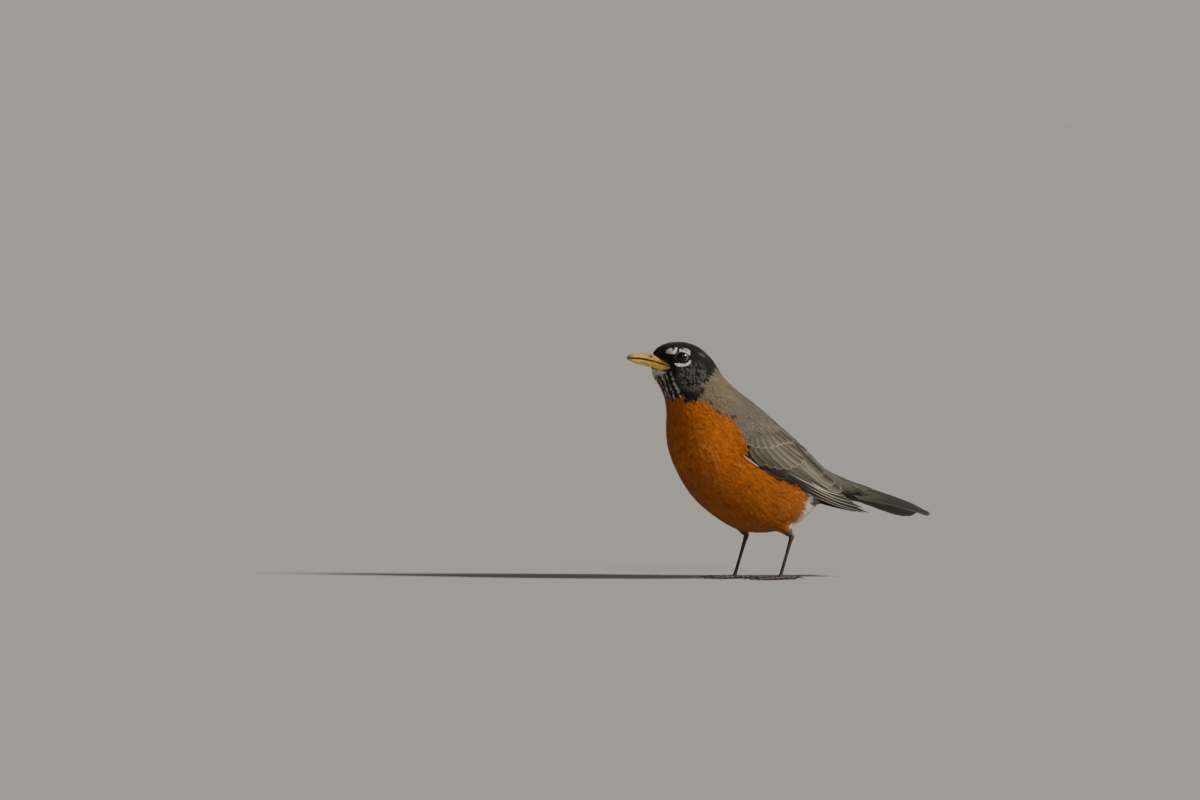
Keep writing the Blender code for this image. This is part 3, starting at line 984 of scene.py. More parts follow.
@dataclass(frozen=True)
class FeatherShape:
    """The outline of a contour feather, in shares of its length and half-width.

    Args:
        steps: Lengths of web along the shaft.
        barbs: Loose barbs on each side.
        web: Share of the half-width that is one joined web.
        point: How pointed the tip is, from 0 for round.
        stray: How unevenly the barbs end.
        barb_width: A barb's width, in shares of the length.
    """

    steps: int = 4
    barbs: int = 6
    web: float = 0.72
    point: float = 0.35
    stray: float = 0.05
    barb_width: float = 0.055

    def half(self, u: Array) -> Array:
        """The outline's half-width at places along the feather."""
        u = np.clip(u, 0, 1)
        return np.sin(math.pi * u**0.75) ** 0.6 * (1 - self.point * u) / (1 - self.point * 0.45)

    def template(self, rng: Rng) -> tuple[Array, Array]:
        """Draws one feather.

        Args:
            rng: Source of the small differences between barbs.

        Returns:
            A row for each vertex (along, across, lift, rim, core, tone), and the triangles.
        """
        rows = np.linspace(0.0, 0.93, self.steps + 1)
        points: list[tuple[float, ...]] = []
        triangles: list[tuple[int, int, int]] = []
        for u in rows:
            for side in (-1, 0, 1):
                across = side * float(self.half(np.array(max(u, 0.03)))) * self.web
                aside = abs(side)
                wear = 0.25 * aside + 0.3 * (u > 0.9)
                points.append((float(u), across, -0.05 * aside, wear, 1.0 - aside, 0.0))
        for r in range(self.steps):
            for c in range(2):
                a = 3 * r + c
                triangles += [(a, a + 4, a + 1), (a, a + 3, a + 4)]
        for side in (-1, 1):
            for j in range(self.barbs):
                f = (j + 0.5) / self.barbs
                u0 = 0.16 + 0.72 * f
                u1 = min(u0 + 0.30 - 0.10 * f, 1.0) + rng.normal(0, self.stray)
                w1 = side * float(self.half(np.array(min(u1, 0.985)))) * (1 + rng.normal(0, self.stray))
                if f > 0.85:
                    u1, w1 = 1.0 + rng.normal(0, self.stray), side * 0.12
                w0 = side * 0.12 * float(self.half(np.array(u0)))
                wide = self.barb_width * (1.2 - 0.4 * f)
                tone = float(rng.normal(0, 1))
                um, wm = u0 + (u1 - u0) * 0.55, w0 + (w1 - w0) * 0.62
                start = len(points)
                points += [
                    (u0 - wide, w0, 0.02, 0.0, 0.3, tone),
                    (u0 + wide, w0, 0.02, 0.0, 0.3, tone),
                    (um - wide, wm * 1.02, 0.05, 0.5, 0.0, tone),
                    (um + wide, wm * 0.98, 0.05, 0.5, 0.0, tone),
                    (u1, w1, 0.0, 1.0, 0.0, tone),
                ]
                strip = [(0, 1, 3), (0, 3, 2), (2, 3, 4)]
                triangles += [tuple(start + k for k in corners[::side]) for corners in strip]
        return np.array(points), np.array(triangles)


@dataclass(frozen=True)
class Pelage:
    """How the feathers of one part of the body grow, in millimetres.

    Args:
        spacing: Distance between neighbouring roots.
        length: A feather's length.
        width: A feather's full width.
        depth: How deep the root lies under the outline.
        lift: How far the tip stands over the outline.
        shape: The feather's outline.
    """

    spacing: float
    length: float
    width: float
    depth: float
    lift: float
    shape: FeatherShape


@dataclass
class Growth:
    """Feathers that march over a surface along the lie of the plumage."""

    surface: Surface
    steps: int = 4
    variants: int = 5

    def shafts(self, roots: Array, lengths: Array, stray: Array) -> tuple[Array, Array, Array]:
        """Follows each shaft over the surface.

        Args:
            roots: Where the feathers grow, (N, 3).
            lengths: Their lengths.
            stray: The turn of each from the lie, in radians.

        Returns:
            Points, sideways directions and normals along the shafts, (N, steps + 1, 3).
        """
        place, normal = self.surface.nearest(roots)
        path, beside, normals = [], [], []
        for step in range(self.steps + 1):
            flow = BODY.lie(place)
            flow = unit(flow - normal * (flow * normal).sum(1, keepdims=True))
            side = np.cross(normal, flow)
            c, s = np.cos(stray)[:, None], np.sin(stray)[:, None]
            flow, side = flow * c + side * s, side * c - flow * s
            path.append(place)
            beside.append(side)
            normals.append(normal)
            if step < self.steps:
                place, fresh = self.surface.nearest(place + flow * (lengths / self.steps)[:, None])
                normal = unit(normal * 0.4 + fresh * 0.6)
        return np.stack(path, 1), np.stack(beside, 1), np.stack(normals, 1)

    def grow(
        self,
        sheaf: Sheaf,
        roots: Array,
        shape: FeatherShape,
        sizes: Array,
        coat: Coat,
        patches: Array,
        rng: Rng,
        tousle: float = 0.12,
    ) -> None:
        """Adds feathers to a sheaf.

        Args:
            sheaf: Where they go.
            roots: Where they grow, (N, 3).
            shape: Their outline.
            sizes: Length, half-width, depth and lift of each, (N, 4).
            coat: Their colours.
            patches: Each root's place on the colour map, (N, 2).
            rng: Source of their differences.
            tousle: How far they stray from the lie, in radians.
        """
        if len(roots) == 0:
            return
        paths, besides, normals = self.shafts(roots, sizes[:, 0], rng.normal(0, tousle, len(roots)))
        kinds = rng.integers(0, self.variants, len(roots))
        heights = rng.random(len(roots)) * 0.18
        roll = rng.normal(0, 0.05, len(roots))
        for kind in range(self.variants):
            chosen = np.where(kinds == kind)[0]
            if len(chosen) == 0:
                continue
            table, web = shape.template(rng)
            u, w, lift, rim, core, tone = table.T
            place = np.clip(u, 0, 1.1) * self.steps
            i = np.clip(place.astype(int), 0, self.steps - 1)
            f = (place - i)[None, :, None]
            path = paths[chosen][:, i] * (1 - f) + paths[chosen][:, i + 1] * f
            beside = unit(besides[chosen][:, i] * (1 - f) + besides[chosen][:, i + 1] * f)
            normal = unit(normals[chosen][:, i] * (1 - f) + normals[chosen][:, i + 1] * f)
            length, half, depth, tip = (sizes[chosen, k][:, None] for k in range(4))
            ramp = np.clip(u, 0, 1)[None, :]
            height = -depth * (1 - ramp) ** 1.3 + tip * ramp**2 + (lift[None, :] - 0.10 * w**2) * half
            height = height + (heights[chosen][:, None] + roll[chosen][:, None] * w[None, :] * half) * ramp
            points = path + beside * (w[None, :] * half)[..., None] + normal * height[..., None]
            own = coat.of(chosen)
            body, edge, base = (rows[:, None] for rows in (own.body, own.rim, own.base))
            strength = own.rim_strength[:, None] * rim[None, :]
            colour = body + (edge - body) * strength[..., None]
            colour = colour * (1 - own.core[:, None, None] * core[None, :, None])
            colour = base + (colour - base) * smooth(np.clip(u, 0, 1), 0.05, 0.45)[None, :, None]
            marked = MARKINGS.fine_marks(points.reshape(-1, 3)).reshape(colour.shape[:2])
            colour = colour + (Tone.CHIN.rgb - colour) * marked[..., None]
            colour = colour * (1 + 0.13 * tone[None, :, None])
            local = np.stack([np.clip(u, 0, 1) - 0.5, np.clip(w, -1, 1) * 0.5], 1) * 0.003
            patch = patches[chosen][:, None] + local[None]
            n, v = points.shape[:2]
            triangles = web[None] + (np.arange(n) * v)[:, None, None]
            barb = u[None, :] * length + 1.2 * np.abs(w)[None, :] * half
            soft = normal + beside * (0.30 * np.clip(w, -1, 1) + 0.10 * tone)[None, :, None]
            shaped = (points.reshape(-1, 3), triangles.reshape(-1, 3), colour.reshape(-1, 3))
            sheaf.add(*shaped, patch.reshape(-1, 2), barb.ravel(), unit(soft).reshape(-1, 3))


# --- finishes


class Wiring:
    """Adds nodes to a node tree, each with its settings and its links."""

    def __init__(self, tree: NodeTree) -> None:
        """Takes the tree to add to."""
        self.tree = tree

    def add(self, kind: str, inputs: Inputs | None = None, **settings: object) -> Node:
        """Adds a node.

        Args:
            kind: The node's type, without its ShaderNode.
            inputs: For each socket, a value or the output that feeds it.
            settings: Its properties.

        Returns:
            The node.
        """
        node = self.tree.nodes.new(f"ShaderNode{kind}")
        for name, value in settings.items():
            setattr(node, name, value)
        self.feed(node, inputs or {})
        return node

    def feed(self, node: Node, inputs: Inputs) -> None:
        """Sets or links a node's inputs.

        Args:
            node: The node.
            inputs: For each socket, a value or the output that feeds it.
        """
        for key, value in inputs.items():
            if isinstance(value, Socket):
                self.tree.links.new(value, node.inputs[key])
            else:
                node.inputs[key].default_value = value

    def tint(self) -> Socket:
        """The colour painted on the mesh."""
        return self.add("Attribute", attribute_name="tint").outputs["Color"]

    def place(self) -> Socket:
        """Each point's place on the piece."""
        return self.add("TexCoord").outputs["Object"]

    def sum(self, operation: str, *values: object) -> Socket:
        """The result of a sum over values or the outputs that feed them."""
        return self.add("Math", dict(enumerate(values)), operation=operation).outputs[0]

    def noise(self, **inputs: object) -> Socket:
        """A smooth noise."""
        return self.add("TexNoise", inputs).outputs["Fac"]

    def mixed(self, share: object, first: object, second: object, **settings: object) -> Socket:
        """Two colours mixed by a share."""
        inputs = {"Factor": share, "A": first, "B": second}
        return self.add("Mix", inputs, data_type="RGBA", **settings).outputs["Result"]

    def scaled(self, value: Socket, ends: Pair, to: Pair = (0.0, 1.0), **settings: object) -> Socket:
        """A value between two ends, brought between two others."""
        inputs = {"Value": value, "From Min": ends[0], "From Max": ends[1], "To Min": to[0], "To Max": to[1]}
        return self.add("MapRange", inputs, **settings).outputs["Result"]


@dataclass(frozen=True)
class Effect:
    """A shader node group that several finishes share; it gives a colour, a roughness and a height.

    Args:
        name: The group's name.
        takes: Its inputs and their starting values, a colour or a number each.
    """

    name: str
    takes: tuple[tuple[str, object], ...]

    def wire(self, wiring: Wiring, given: Outputs) -> dict[str, Socket]:
        """Adds the group's inner nodes and gives what feeds each output."""
        raise NotImplementedError

    def group(self) -> NodeTree:
        """Builds the node group the first time.

        Returns:
            The node group.
        """
        made = bpy.data.node_groups.get(self.name)
        if made:
            return made
        made = bpy.data.node_groups.new(self.name, "ShaderNodeTree")
        for name, value in self.takes:
            kind = COLOUR if isinstance(value, tuple) else NUMBER
            made.interface.new_socket(name, in_out="INPUT", socket_type=kind).default_value = value
        for name, kind in (("Colour", COLOUR), ("Roughness", NUMBER), ("Height", NUMBER)):
            made.interface.new_socket(name, in_out="OUTPUT", socket_type=kind)
        given, wanted = made.nodes.new("NodeGroupInput"), made.nodes.new("NodeGroupOutput")
        wiring = Wiring(made)
        wiring.feed(wanted, self.wire(wiring, given.outputs))
        return made

    def into(self, wiring: Wiring, **values: object) -> Outputs:
        """Places the group in a material, each input with a value or the output that feeds it."""
        return wiring.add("Group", values, node_tree=self.group()).outputs


@dataclass(frozen=True)
class BarbGrain(Effect):
    """The ribs of a feather's web: barbs that shade, roughen and raise it."""

    name: str = "barb_grain"
    takes: tuple[tuple[str, object], ...] = (
        ("Tint", (0.5, 0.5, 0.5, 1.0)),
        ("Barb", 0.0),
        ("Ribs", 3.0),
        ("Contrast", 0.3),
        ("Roughness", 0.7),
    )

    def wire(self, wiring: Wiring, given: Outputs) -> dict[str, Socket]:
        """Adds the group's inner nodes.

        Args:
            wiring: Adds to the group.
            given: The group's inputs.

        Returns:
            What feeds each output.
        """
        turns = wiring.sum("MULTIPLY", given["Barb"], wiring.sum("MULTIPLY", given["Ribs"], 2 * math.pi))
        ribs = wiring.sum("SINE", turns)
        shade = wiring.scaled(ribs, (-1.0, 1.0), (0.6, 1.4))
        colour = wiring.mixed(given["Contrast"], given["Tint"], shade, blend_type="MULTIPLY")
        rough = wiring.sum("ADD", given["Roughness"], wiring.scaled(ribs, (-1.0, 1.0), (-0.06, 0.06)))
        return {"Colour": colour, "Roughness": rough, "Height": ribs}


@dataclass(frozen=True)
class Specks(Effect):
    """Small stains and a fine grain in horn and bare skin."""

    name: str = "specks"
    takes: tuple[tuple[str, object], ...] = (
        ("Tint", (0.5, 0.5, 0.5, 1.0)),
        ("Stain", (0.10, 0.055, 0.03, 1.0)),
        ("Amount", 0.1),
        ("Size", 0.9),
        ("Roughness", 0.4),
    )

    def wire(self, wiring: Wiring, given: Outputs) -> dict[str, Socket]:
        """Adds the group's inner nodes.

        Args:
            wiring: Adds to the group.
            given: The group's inputs.

        Returns:
            What feeds each output.
        """
        place = wiring.place()
        spots = wiring.noise(Vector=place, Scale=wiring.sum("DIVIDE", 1 / MM, given["Size"]), Detail=2.0)
        edge = wiring.sum("SUBTRACT", 0.68, given["Amount"])
        mask = wiring.scaled(spots, (edge, wiring.sum("ADD", edge, 0.08)))
        grain = wiring.noise(Vector=place, Scale=2.6 / MM)
        rough = wiring.sum("ADD", given["Roughness"], wiring.scaled(grain, (0.0, 1.0), (-0.12, 0.12)))
        colour = wiring.mixed(mask, given["Tint"], given["Stain"])
        return {"Colour": colour, "Roughness": rough, "Height": grain}


BARB_GRAIN = BarbGrain()
SPECKS = Specks()


@dataclass(frozen=True)
class Finish:
    """A finish: a Principled material under its own name.

    Args:
        name: The material's name.
        roughness: Its roughness.
        relief: Height of its relief in millimetres.
    """

    name: str
    roughness: float = 0.5
    relief: float = 0.05

    def dress(self, wiring: Wiring, shader: Node) -> None:
        """Wires the finish's own nodes into its shader."""
        raise NotImplementedError

    def raised(self, wiring: Wiring, shader: Node, look: Outputs, height: Socket | None = None) -> None:
        """Feeds an effect's colour, roughness and relief to the shader.

        Args:
            wiring: Adds to the material.
            shader: Its Principled shader.
            look: The effect's outputs.
            height: The relief, if it isn't the effect's.
        """
        height = look["Height"] if height is None else height
        bumps = {"Strength": 0.5, "Distance": self.relief * MM, "Height": height}
        normal = wiring.add("Bump", bumps).outputs["Normal"]
        wiring.feed(shader, {"Base Color": look["Colour"], "Roughness": look["Roughness"], "Normal": normal})

    def make(self) -> Material:
        """Makes the finish.

        Returns:
            The material.
        """
        made = bpy.data.materials.new(self.name)
        made.use_nodes = True
        self.dress(Wiring(made.node_tree), made.node_tree.nodes["Principled BSDF"])
        return made


@dataclass(frozen=True)
class FeatherFinish(Finish):
    """Feathers: their own tint, with the fine ribbing of barbs.

    Args:
        sheen: Soft light caught by loose barbs.
        gloss: Specular level.
        ribs: How many barbs cross a millimetre.
        contrast: How strongly the ribbing shades the tint.
    """

    roughness: float = 0.72
    sheen: float = 0.12
    gloss: float = 0.25
    ribs: float = 3.0
    contrast: float = 0.35

    def dress(self, wiring: Wiring, shader: Node) -> None:
        """Wires the ribbing into the shader.

        Args:
            wiring: Adds to the material.
            shader: Its Principled shader.
        """
        barb = wiring.add("Attribute", attribute_name="barb").outputs["Fac"]
        web = {"Ribs": self.ribs, "Contrast": self.contrast, "Roughness": self.roughness}
        self.raised(wiring, shader, BARB_GRAIN.into(wiring, Tint=wiring.tint(), Barb=barb, **web))
        soft = {"Sheen Weight": self.sheen, "Sheen Roughness": 0.5}
        wiring.feed(shader, {"Specular IOR Level": self.gloss, **soft})


@dataclass(frozen=True)
class HornFinish(Finish):
    """Horn or bare skin: its own tint, with small stains and a fine grain.

    Args:
        amount: How much of the surface is stained.
        size: Size of the stains in millimetres.
        flesh: How much light passes under the surface.
    """

    roughness: float = 0.38
    amount: float = 0.07
    size: float = 0.9
    flesh: float = 0.12

    def dress(self, wiring: Wiring, shader: Node) -> None:
        """Wires the stains and grain into the shader.

        Args:
            wiring: Adds to the material.
            shader: Its Principled shader.
        """
        horn = {"Amount": self.amount, "Size": self.size, "Roughness": self.roughness}
        self.raised(wiring, shader, SPECKS.into(wiring, Tint=wiring.tint(), **horn))
        wiring.feed(shader, {"Subsurface Weight": self.flesh, "Subsurface Scale": 0.6 * MM})


@dataclass(frozen=True)
class ScaleFinish(Finish):
    """The scutes of the shanks and toes: dark plates in rings.

    Args:
        colour: The plates' colour.
        gap: The colour between them.
        plates: Plates in a millimetre.
    """

    roughness: float = 0.45
    relief: float = 0.14
    colour: Triple = (0.060, 0.040, 0.028)
    gap: Triple = (0.020, 0.014, 0.011)
    plates: float = 0.55

    def dress(self, wiring: Wiring, shader: Node) -> None:
        """Wires the plates into the shader.

        Args:
            wiring: Adds to the material.
            shader: Its Principled shader.
        """
        wave = {"Vector": wiring.place(), "Scale": self.plates / MM * 0.16, "Distortion": 1.2, "Detail": 1.0}
        bands = {"wave_type": "BANDS", "bands_direction": "DIAGONAL", "wave_profile": "SAW"}
        rings = wiring.add("TexWave", wave, **bands).outputs["Fac"]
        plates, stain = wiring.mixed(rings, (*self.gap, 1.0), (*self.colour, 1.0)), (*self.gap, 1.0)
        worn = {"Amount": 0.12, "Size": 1.6, "Roughness": self.roughness}
        self.raised(wiring, shader, SPECKS.into(wiring, Tint=plates, Stain=stain, **worn), rings)


@dataclass(frozen=True)
class EyeFinish(Finish):
    """A wet, dark eye: its tint under a clear coat."""

    roughness: float = 0.3

    def dress(self, wiring: Wiring, shader: Node) -> None:
        """Wires the tint and the wet coat into the shader."""
        wet = {"Specular IOR Level": 0.1, "Coat Weight": 0.7, "Coat Roughness": 0.02}
        wiring.feed(shader, {"Base Color": wiring.tint(), "Roughness": self.roughness, **wet})


@dataclass(frozen=True)
class PaintFinish(Finish):
    """Plain paint.

    Args:
        colour: Its colour.
    """

    colour: Triple = (0.56, 0.557, 0.552)

    def dress(self, wiring: Wiring, shader: Node) -> None:
        """Sets the shader's own sockets."""
        paint = {"Base Color": (*self.colour, 1.0), "Roughness": self.roughness}
        wiring.feed(shader, {**paint, "Specular IOR Level": 0.0})


# --- the plumage


@dataclass
class Plumage:
    """The contour feathers of the whole bird, laid over its hull.

    Args:
        candidates: Random places tried on the hull.
        topmost: How far up a place has to face to keep its feathers over a wing's edge.
        lid_edge: How far from an eye's middle the feathers begin.
        lengths: Where each piece of the plumage starts and ends along the ribs.
        flesh: The nodes that the skin replaces.
        window: The outline of each wing's laid vanes in profile, walked with its inside on the left.
        bare: The outline of the bill and gape in the unturned profile, walked the same way.
    """

    candidates: int = 140000
    topmost: float = 0.62
    lid_edge: float = 4.6
    lengths: dict[str, tuple[float, float]] = field(
        default_factory=lambda: {
            "head": (0.0, 3.4),
            "neck": (3.4, 6.6),
            "breast": (6.6, 9.2),
            "belly": (9.2, 11.6),
            "rear": (11.6, 15.0),
        }
    )
    flesh: tuple[str, ...] = ("head", "neck", "trunk", "thigh_left", "thigh_right")
    face: Pelage = Pelage(0.62, 1.9, 1.15, 0.55, 0.10, FeatherShape(2, 2, 0.75, 0.5, 0.08, 0.10))
    crown: Pelage = Pelage(1.05, 3.6, 2.2, 0.9, 0.15, FeatherShape(3, 3, 0.75, 0.4, 0.07, 0.07))
    neck: Pelage = Pelage(1.3, 6.5, 4.0, 1.1, 0.15, FeatherShape(3, 9, 0.55, 0.35, 0.10, 0.030))
    breast: Pelage = Pelage(1.65, 9.5, 6.6, 1.4, 0.15, FeatherShape(4, 13, 0.50, 0.3, 0.10, 0.021))
    tail_coverts: Pelage = Pelage(1.7, 13.0, 5.0, 0.9, 0.15, FeatherShape(4, 9, 0.7, 0.5, 0.05, 0.022))
    window: Line = (
        (-37.0, 88.5), (-30.0, 83.4), (-26.0, 80.4), (-18.3, 79.4), (-8.6, 74.6), (1.0, 69.6), (12.0, 63.2),
        (28.0, 56.5), (43.5, 52.5), (66.0, 46.0), (49.0, 59.5), (40.5, 66.5), (34.5, 72.5), (27.5, 79.5),
        (21.0, 85.0), (12.0, 92.0), (3.0, 98.0), (-7.0, 101.5), (-20.0, 103.0), (-31.0, 103.5),
        (-35.0, 96.0), (-37.0, 88.5),
    )
    bare: Line = (
        (-115.0, 152.0), (-98.0, 152.4), (-92.4, 151.2), (-86.3, 150.2), (-81.6, 152.4), (-84.1, 157.0),
        (-89.1, 159.8), (-94.1, 160.6), (-95.2, 164.5), (-115.0, 164.0), (-115.0, 152.0),
    )

    def kinds(self) -> list[Pelage]:
        """The growths, from face to tail."""
        return [self.face, self.crown, self.neck, self.breast, self.tail_coverts]

    def sizes(self, points: Array) -> tuple[Array, Array]:
        """Which growth each place has and its measures.

        Args:
            points: Places on the posed bird.

        Returns:
            The number of the growth, and rows of spacing, length, half-width, depth and lift.
        """
        flat = BODY.straight(points)
        along, angle, _, _ = BODY.locate(flat)
        p = flat[:, [0, 2]]
        kinds = self.kinds()
        table = np.array([[k.spacing, k.length, k.width / 2, k.depth, k.lift] for k in kinds])
        stages = along + 0.9 * smooth(angle, 1.8, 2.8) * (along < 4)
        t = np.interp(stages, (0, 2.2, 3.6, 5.5, 8.0, 12.5, 14.0), (0, 0.25, 1, 2, 3, 3, 4))
        t = t * smooth(Oval(MARKINGS.eye, (9.0, 8.0)).out(p), 0.6, 1.3)
        low = np.clip(t.astype(int), 0, len(kinds) - 2)
        f = (t - low)[:, None]
        measures = table[low] * (1 - f) + table[low + 1] * f
        over = smooth(beyond_line(points[:, [0, 2]], self.window), -14.0, -9.0) * smooth(p[:, 0], 12, 0)
        over = over * smooth(p[:, 1], 80, 90) * smooth(angle, 0.45, 0.85)
        measures[:, DEPTH] = measures[:, DEPTH] * (1 - over) + 0.3 * over
        measures[:, LIFT] = measures[:, LIFT] + 0.75 * over
        below = (smooth(along, 12.3, 13.2) * smooth(angle, 1.45, 1.8))[:, None]
        measures = measures * (1 - below) + np.array((1.9, 14.0, 3.2, 1.2, 1.3)) * below
        measures[MARKINGS.thigh(flat)] = (1.3, 5.0, 1.6, 0.9, 0.1)
        chin = smooth(p[:, 1], 141, 147) * smooth(angle, 2.1, 2.6) * smooth(p[:, 0], -86, -90)
        measures[:, LIFT] = measures[:, LIFT] + 1.3 * chin
        measures[:, LENGTH] = measures[:, LENGTH] + 1.2 * chin
        return np.clip(np.round(t).astype(int), 0, len(kinds) - 1), measures

    def patches(self, points: Array, sides: Array | None = None) -> Array:
        """Each place on the unwrap of the skin, with the belly line as its seam.

        Args:
            points: Points of the posed bird.
            sides: The side of each, as the sign of y, if its y is not to be asked.

        Returns:
            A place on the unwrap for each, (N, 2).
        """
        along, angle, _, _ = BODY.locate(BODY.straight(points))
        sides = np.sign(points[:, 1]) if sides is None else sides
        return np.stack([0.03 + 0.94 * along / BODY.last, 0.5 + sides * angle / math.pi * 0.47], 1)

    def skin(self, finish: FeatherFinish) -> Piece:
        """Makes the one closed skin of head, neck, trunk and thighs, under the feathers.

        Args:
            finish: Its finish.

        Returns:
            The skin.
        """
        made = remeshed("skin", self.flesh, 1.0, 5)
        mesh = made.data
        normals = np.zeros(len(mesh.vertices) * 3, np.float32)
        mesh.vertices.foreach_get("normal", normals)
        points = BODY.drawn_in(places_of(mesh))
        _, measures = self.sizes(points)
        depth = measures[:, [DEPTH]] * 0.9
        rng = np.random.default_rng(SEED)
        coat = MARKINGS.colour(points, rng, 0.0)
        flat = BODY.straight(points)[:, [0, 2]]
        bare = smooth(beyond_line(flat, self.bare), -0.3, 0.3)
        pale = smooth(coat.body.mean(1), 0.3, 0.6)
        tint = blend(coat.body * (0.55 + 0.30 * pale)[:, None], Tone.GAPE_SKIN.rgb, bare)
        depth = depth * (1 - bare[:, None]) + 1.7 * bare[:, None]
        inner = points - normals.reshape(-1, 3) * depth
        mesh.vertices.foreach_set("co", to_world(inner).astype(np.float32).ravel())
        set_tint(mesh, tint)
        corners = np.zeros(len(mesh.loops), np.int32)
        mesh.loops.foreach_get("vertex_index", corners)
        starts = np.zeros(len(mesh.polygons), np.int32)
        mesh.polygons.foreach_get("loop_start", starts)
        totals = np.diff(np.append(starts, len(corners)))
        side = np.sign(np.add.reduceat(points[corners, 1], starts))
        layer = mesh.uv_layers.new(name="OFBake")
        unwrap = self.patches(points[corners], np.repeat(np.where(side == 0, 1.0, side), totals))
        layer.data.foreach_set("uv", unwrap.astype(np.float32).ravel())
        mesh.materials.append(finish.make())
        shade_smooth(mesh)
        mesh.update()
        return made

    def rooted(self, trunk: Surface, hull: Surface, hidden: bool, rng: Rng) -> Array:
        """Places where feathers grow on a surface.

        Args:
            trunk: The outline without the wings.
            hull: The whole outline with the wings.
            hidden: Takes the places on the trunk that a wing covers, in place of those on the hull.
            rng: Source of the places.

        Returns:
            The roots, (N, 3).
        """
        tried = trunk.scatter(self.candidates // 2, rng) if hidden else hull.scatter(self.candidates, rng)
        tried = tried[BODY.locate(BODY.straight(tried))[0] < 14.7]
        if hidden:
            place, _ = hull.nearest(tried)
            tried = tried[np.linalg.norm(place - tried, axis=1) > 0.8]
        _, measures = self.sizes(tried)
        roots = tried[thin_out(tried, measures[:, SPACING])]
        _, measures = self.sizes(roots)
        flow = BODY.lie(roots)
        lower = (roots[:, 0] > -5) & (roots[:, 2] < 80)
        reach = np.where(lower | hidden, 1.0, 0.7)[:, None]
        ends = (roots + flow * measures[:, [LENGTH]] * reach)[:, [0, 2]]
        limit = 0.4 if hidden else np.where(lower, -1.2, -0.5)
        keep = beyond_line(ends, self.window) < limit
        inside = beyond_line(roots[:, [0, 2]], self.window)
        if hidden:
            keep &= (inside < 0.5) | (roots[:, 2] > 80)
        else:
            keep &= inside < 0
            place, _ = trunk.nearest(roots)
            near = np.linalg.norm(place - roots, axis=1) < 0.7
            keep |= near & (roots[:, 0] > 30) & (np.abs(roots[:, 1]) < 13)
            _, outward = hull.nearest(roots)
            over = BODY.locate(BODY.straight(roots))[1] < 1.15
            keep |= (outward[:, 2] > self.topmost) & (roots[:, 0] > -30) & (roots[:, 2] > 75) & over
        for places in (roots, roots + flow * measures[:, [LENGTH]] * 0.6):
            keep &= beyond_line(BODY.straight(places)[:, [0, 2]], self.bare) < 0
        for side in Side:
            off = roots - BODY.eye_centre(side)
            reach = np.linalg.norm(off, axis=1)
            keep &= reach > self.lid_edge + 0.6 * np.clip(-(flow * off).sum(1) / reach, 0, 1)
        return roots[keep]

    def seen(self, roots: Array, lengths: Array) -> Array:
        """The middle of the part that shows of each feather, nearer its root beside the eyes.

        Args:
            roots: Where the feathers grow.
            lengths: Their lengths, (N, 1).

        Returns:
            The places.
        """
        share = np.full((len(roots), 1), 0.75)
        for side in Side:
            reach = np.linalg.norm(roots - BODY.eye_centre(side), axis=1, keepdims=True)
            share = share - 0.35 * (1 - smooth(reach, 7.0, 10.0))
        return roots + BODY.lie(roots) * lengths * share

    def build(self, finish: FeatherFinish) -> dict[str, Piece]:
        """Makes the skin and the feathers, by name.

        Args:
            finish: Their finish.

        Returns:
            The skin and the feathers, by name.
        """
        rng = np.random.default_rng(SEED)
        outline = remeshed("outline", (*self.flesh, "tail"), 0.9, 4)
        trunk = Surface.of(outline)
        bpy.data.objects.remove(outline)
        outline = remeshed("outline", (*self.flesh, "tail", "wing_left", "wing_right"), 1.2, 18)
        self.hull = hull = Surface.of(outline)
        bpy.data.objects.remove(outline)
        groups = [(hull, self.rooted(trunk, hull, False, rng)), (trunk, self.rooted(trunk, hull, True, rng))]
        material = finish.make()
        sheaves: dict[str, Sheaf] = {}
        for surface, roots in groups:
            growth, measures = self.sizes(roots)
            coat = MARKINGS.colour(self.seen(roots, measures[:, [LENGTH]]), rng)
            along = BODY.locate(BODY.straight(roots))[0]
            patches = self.patches(roots)
            parts = {}
            for side in Side:
                beside = roots[:, 1] * side.value >= 0
                for name, (start, end) in self.lengths.items():
                    parts[f"plumage_{name}_{side.word}"] = beside & (along >= start) & (along < end)
            for name, here in parts.items():
                sheaf = sheaves.setdefault(name, Sheaf())
                for number, kind in enumerate(self.kinds()):
                    chosen = np.where(here & (growth == number))[0]
                    sizes = measures[chosen]
                    sizes[:, [LENGTH, WIDTH]] *= np.clip(rng.normal(1, 0.08, (len(chosen), 1)), 0.8, 1.25)
                    own = (sizes[:, LENGTH:], coat.of(chosen), patches[chosen])
                    Growth(surface).grow(sheaf, roots[chosen], kind.shape, *own, rng)
        made = {name: sheaf.build(name, material) for name, sheaf in sheaves.items()}
        made["skin"] = self.skin(finish)
        return made


# --- laid vanes


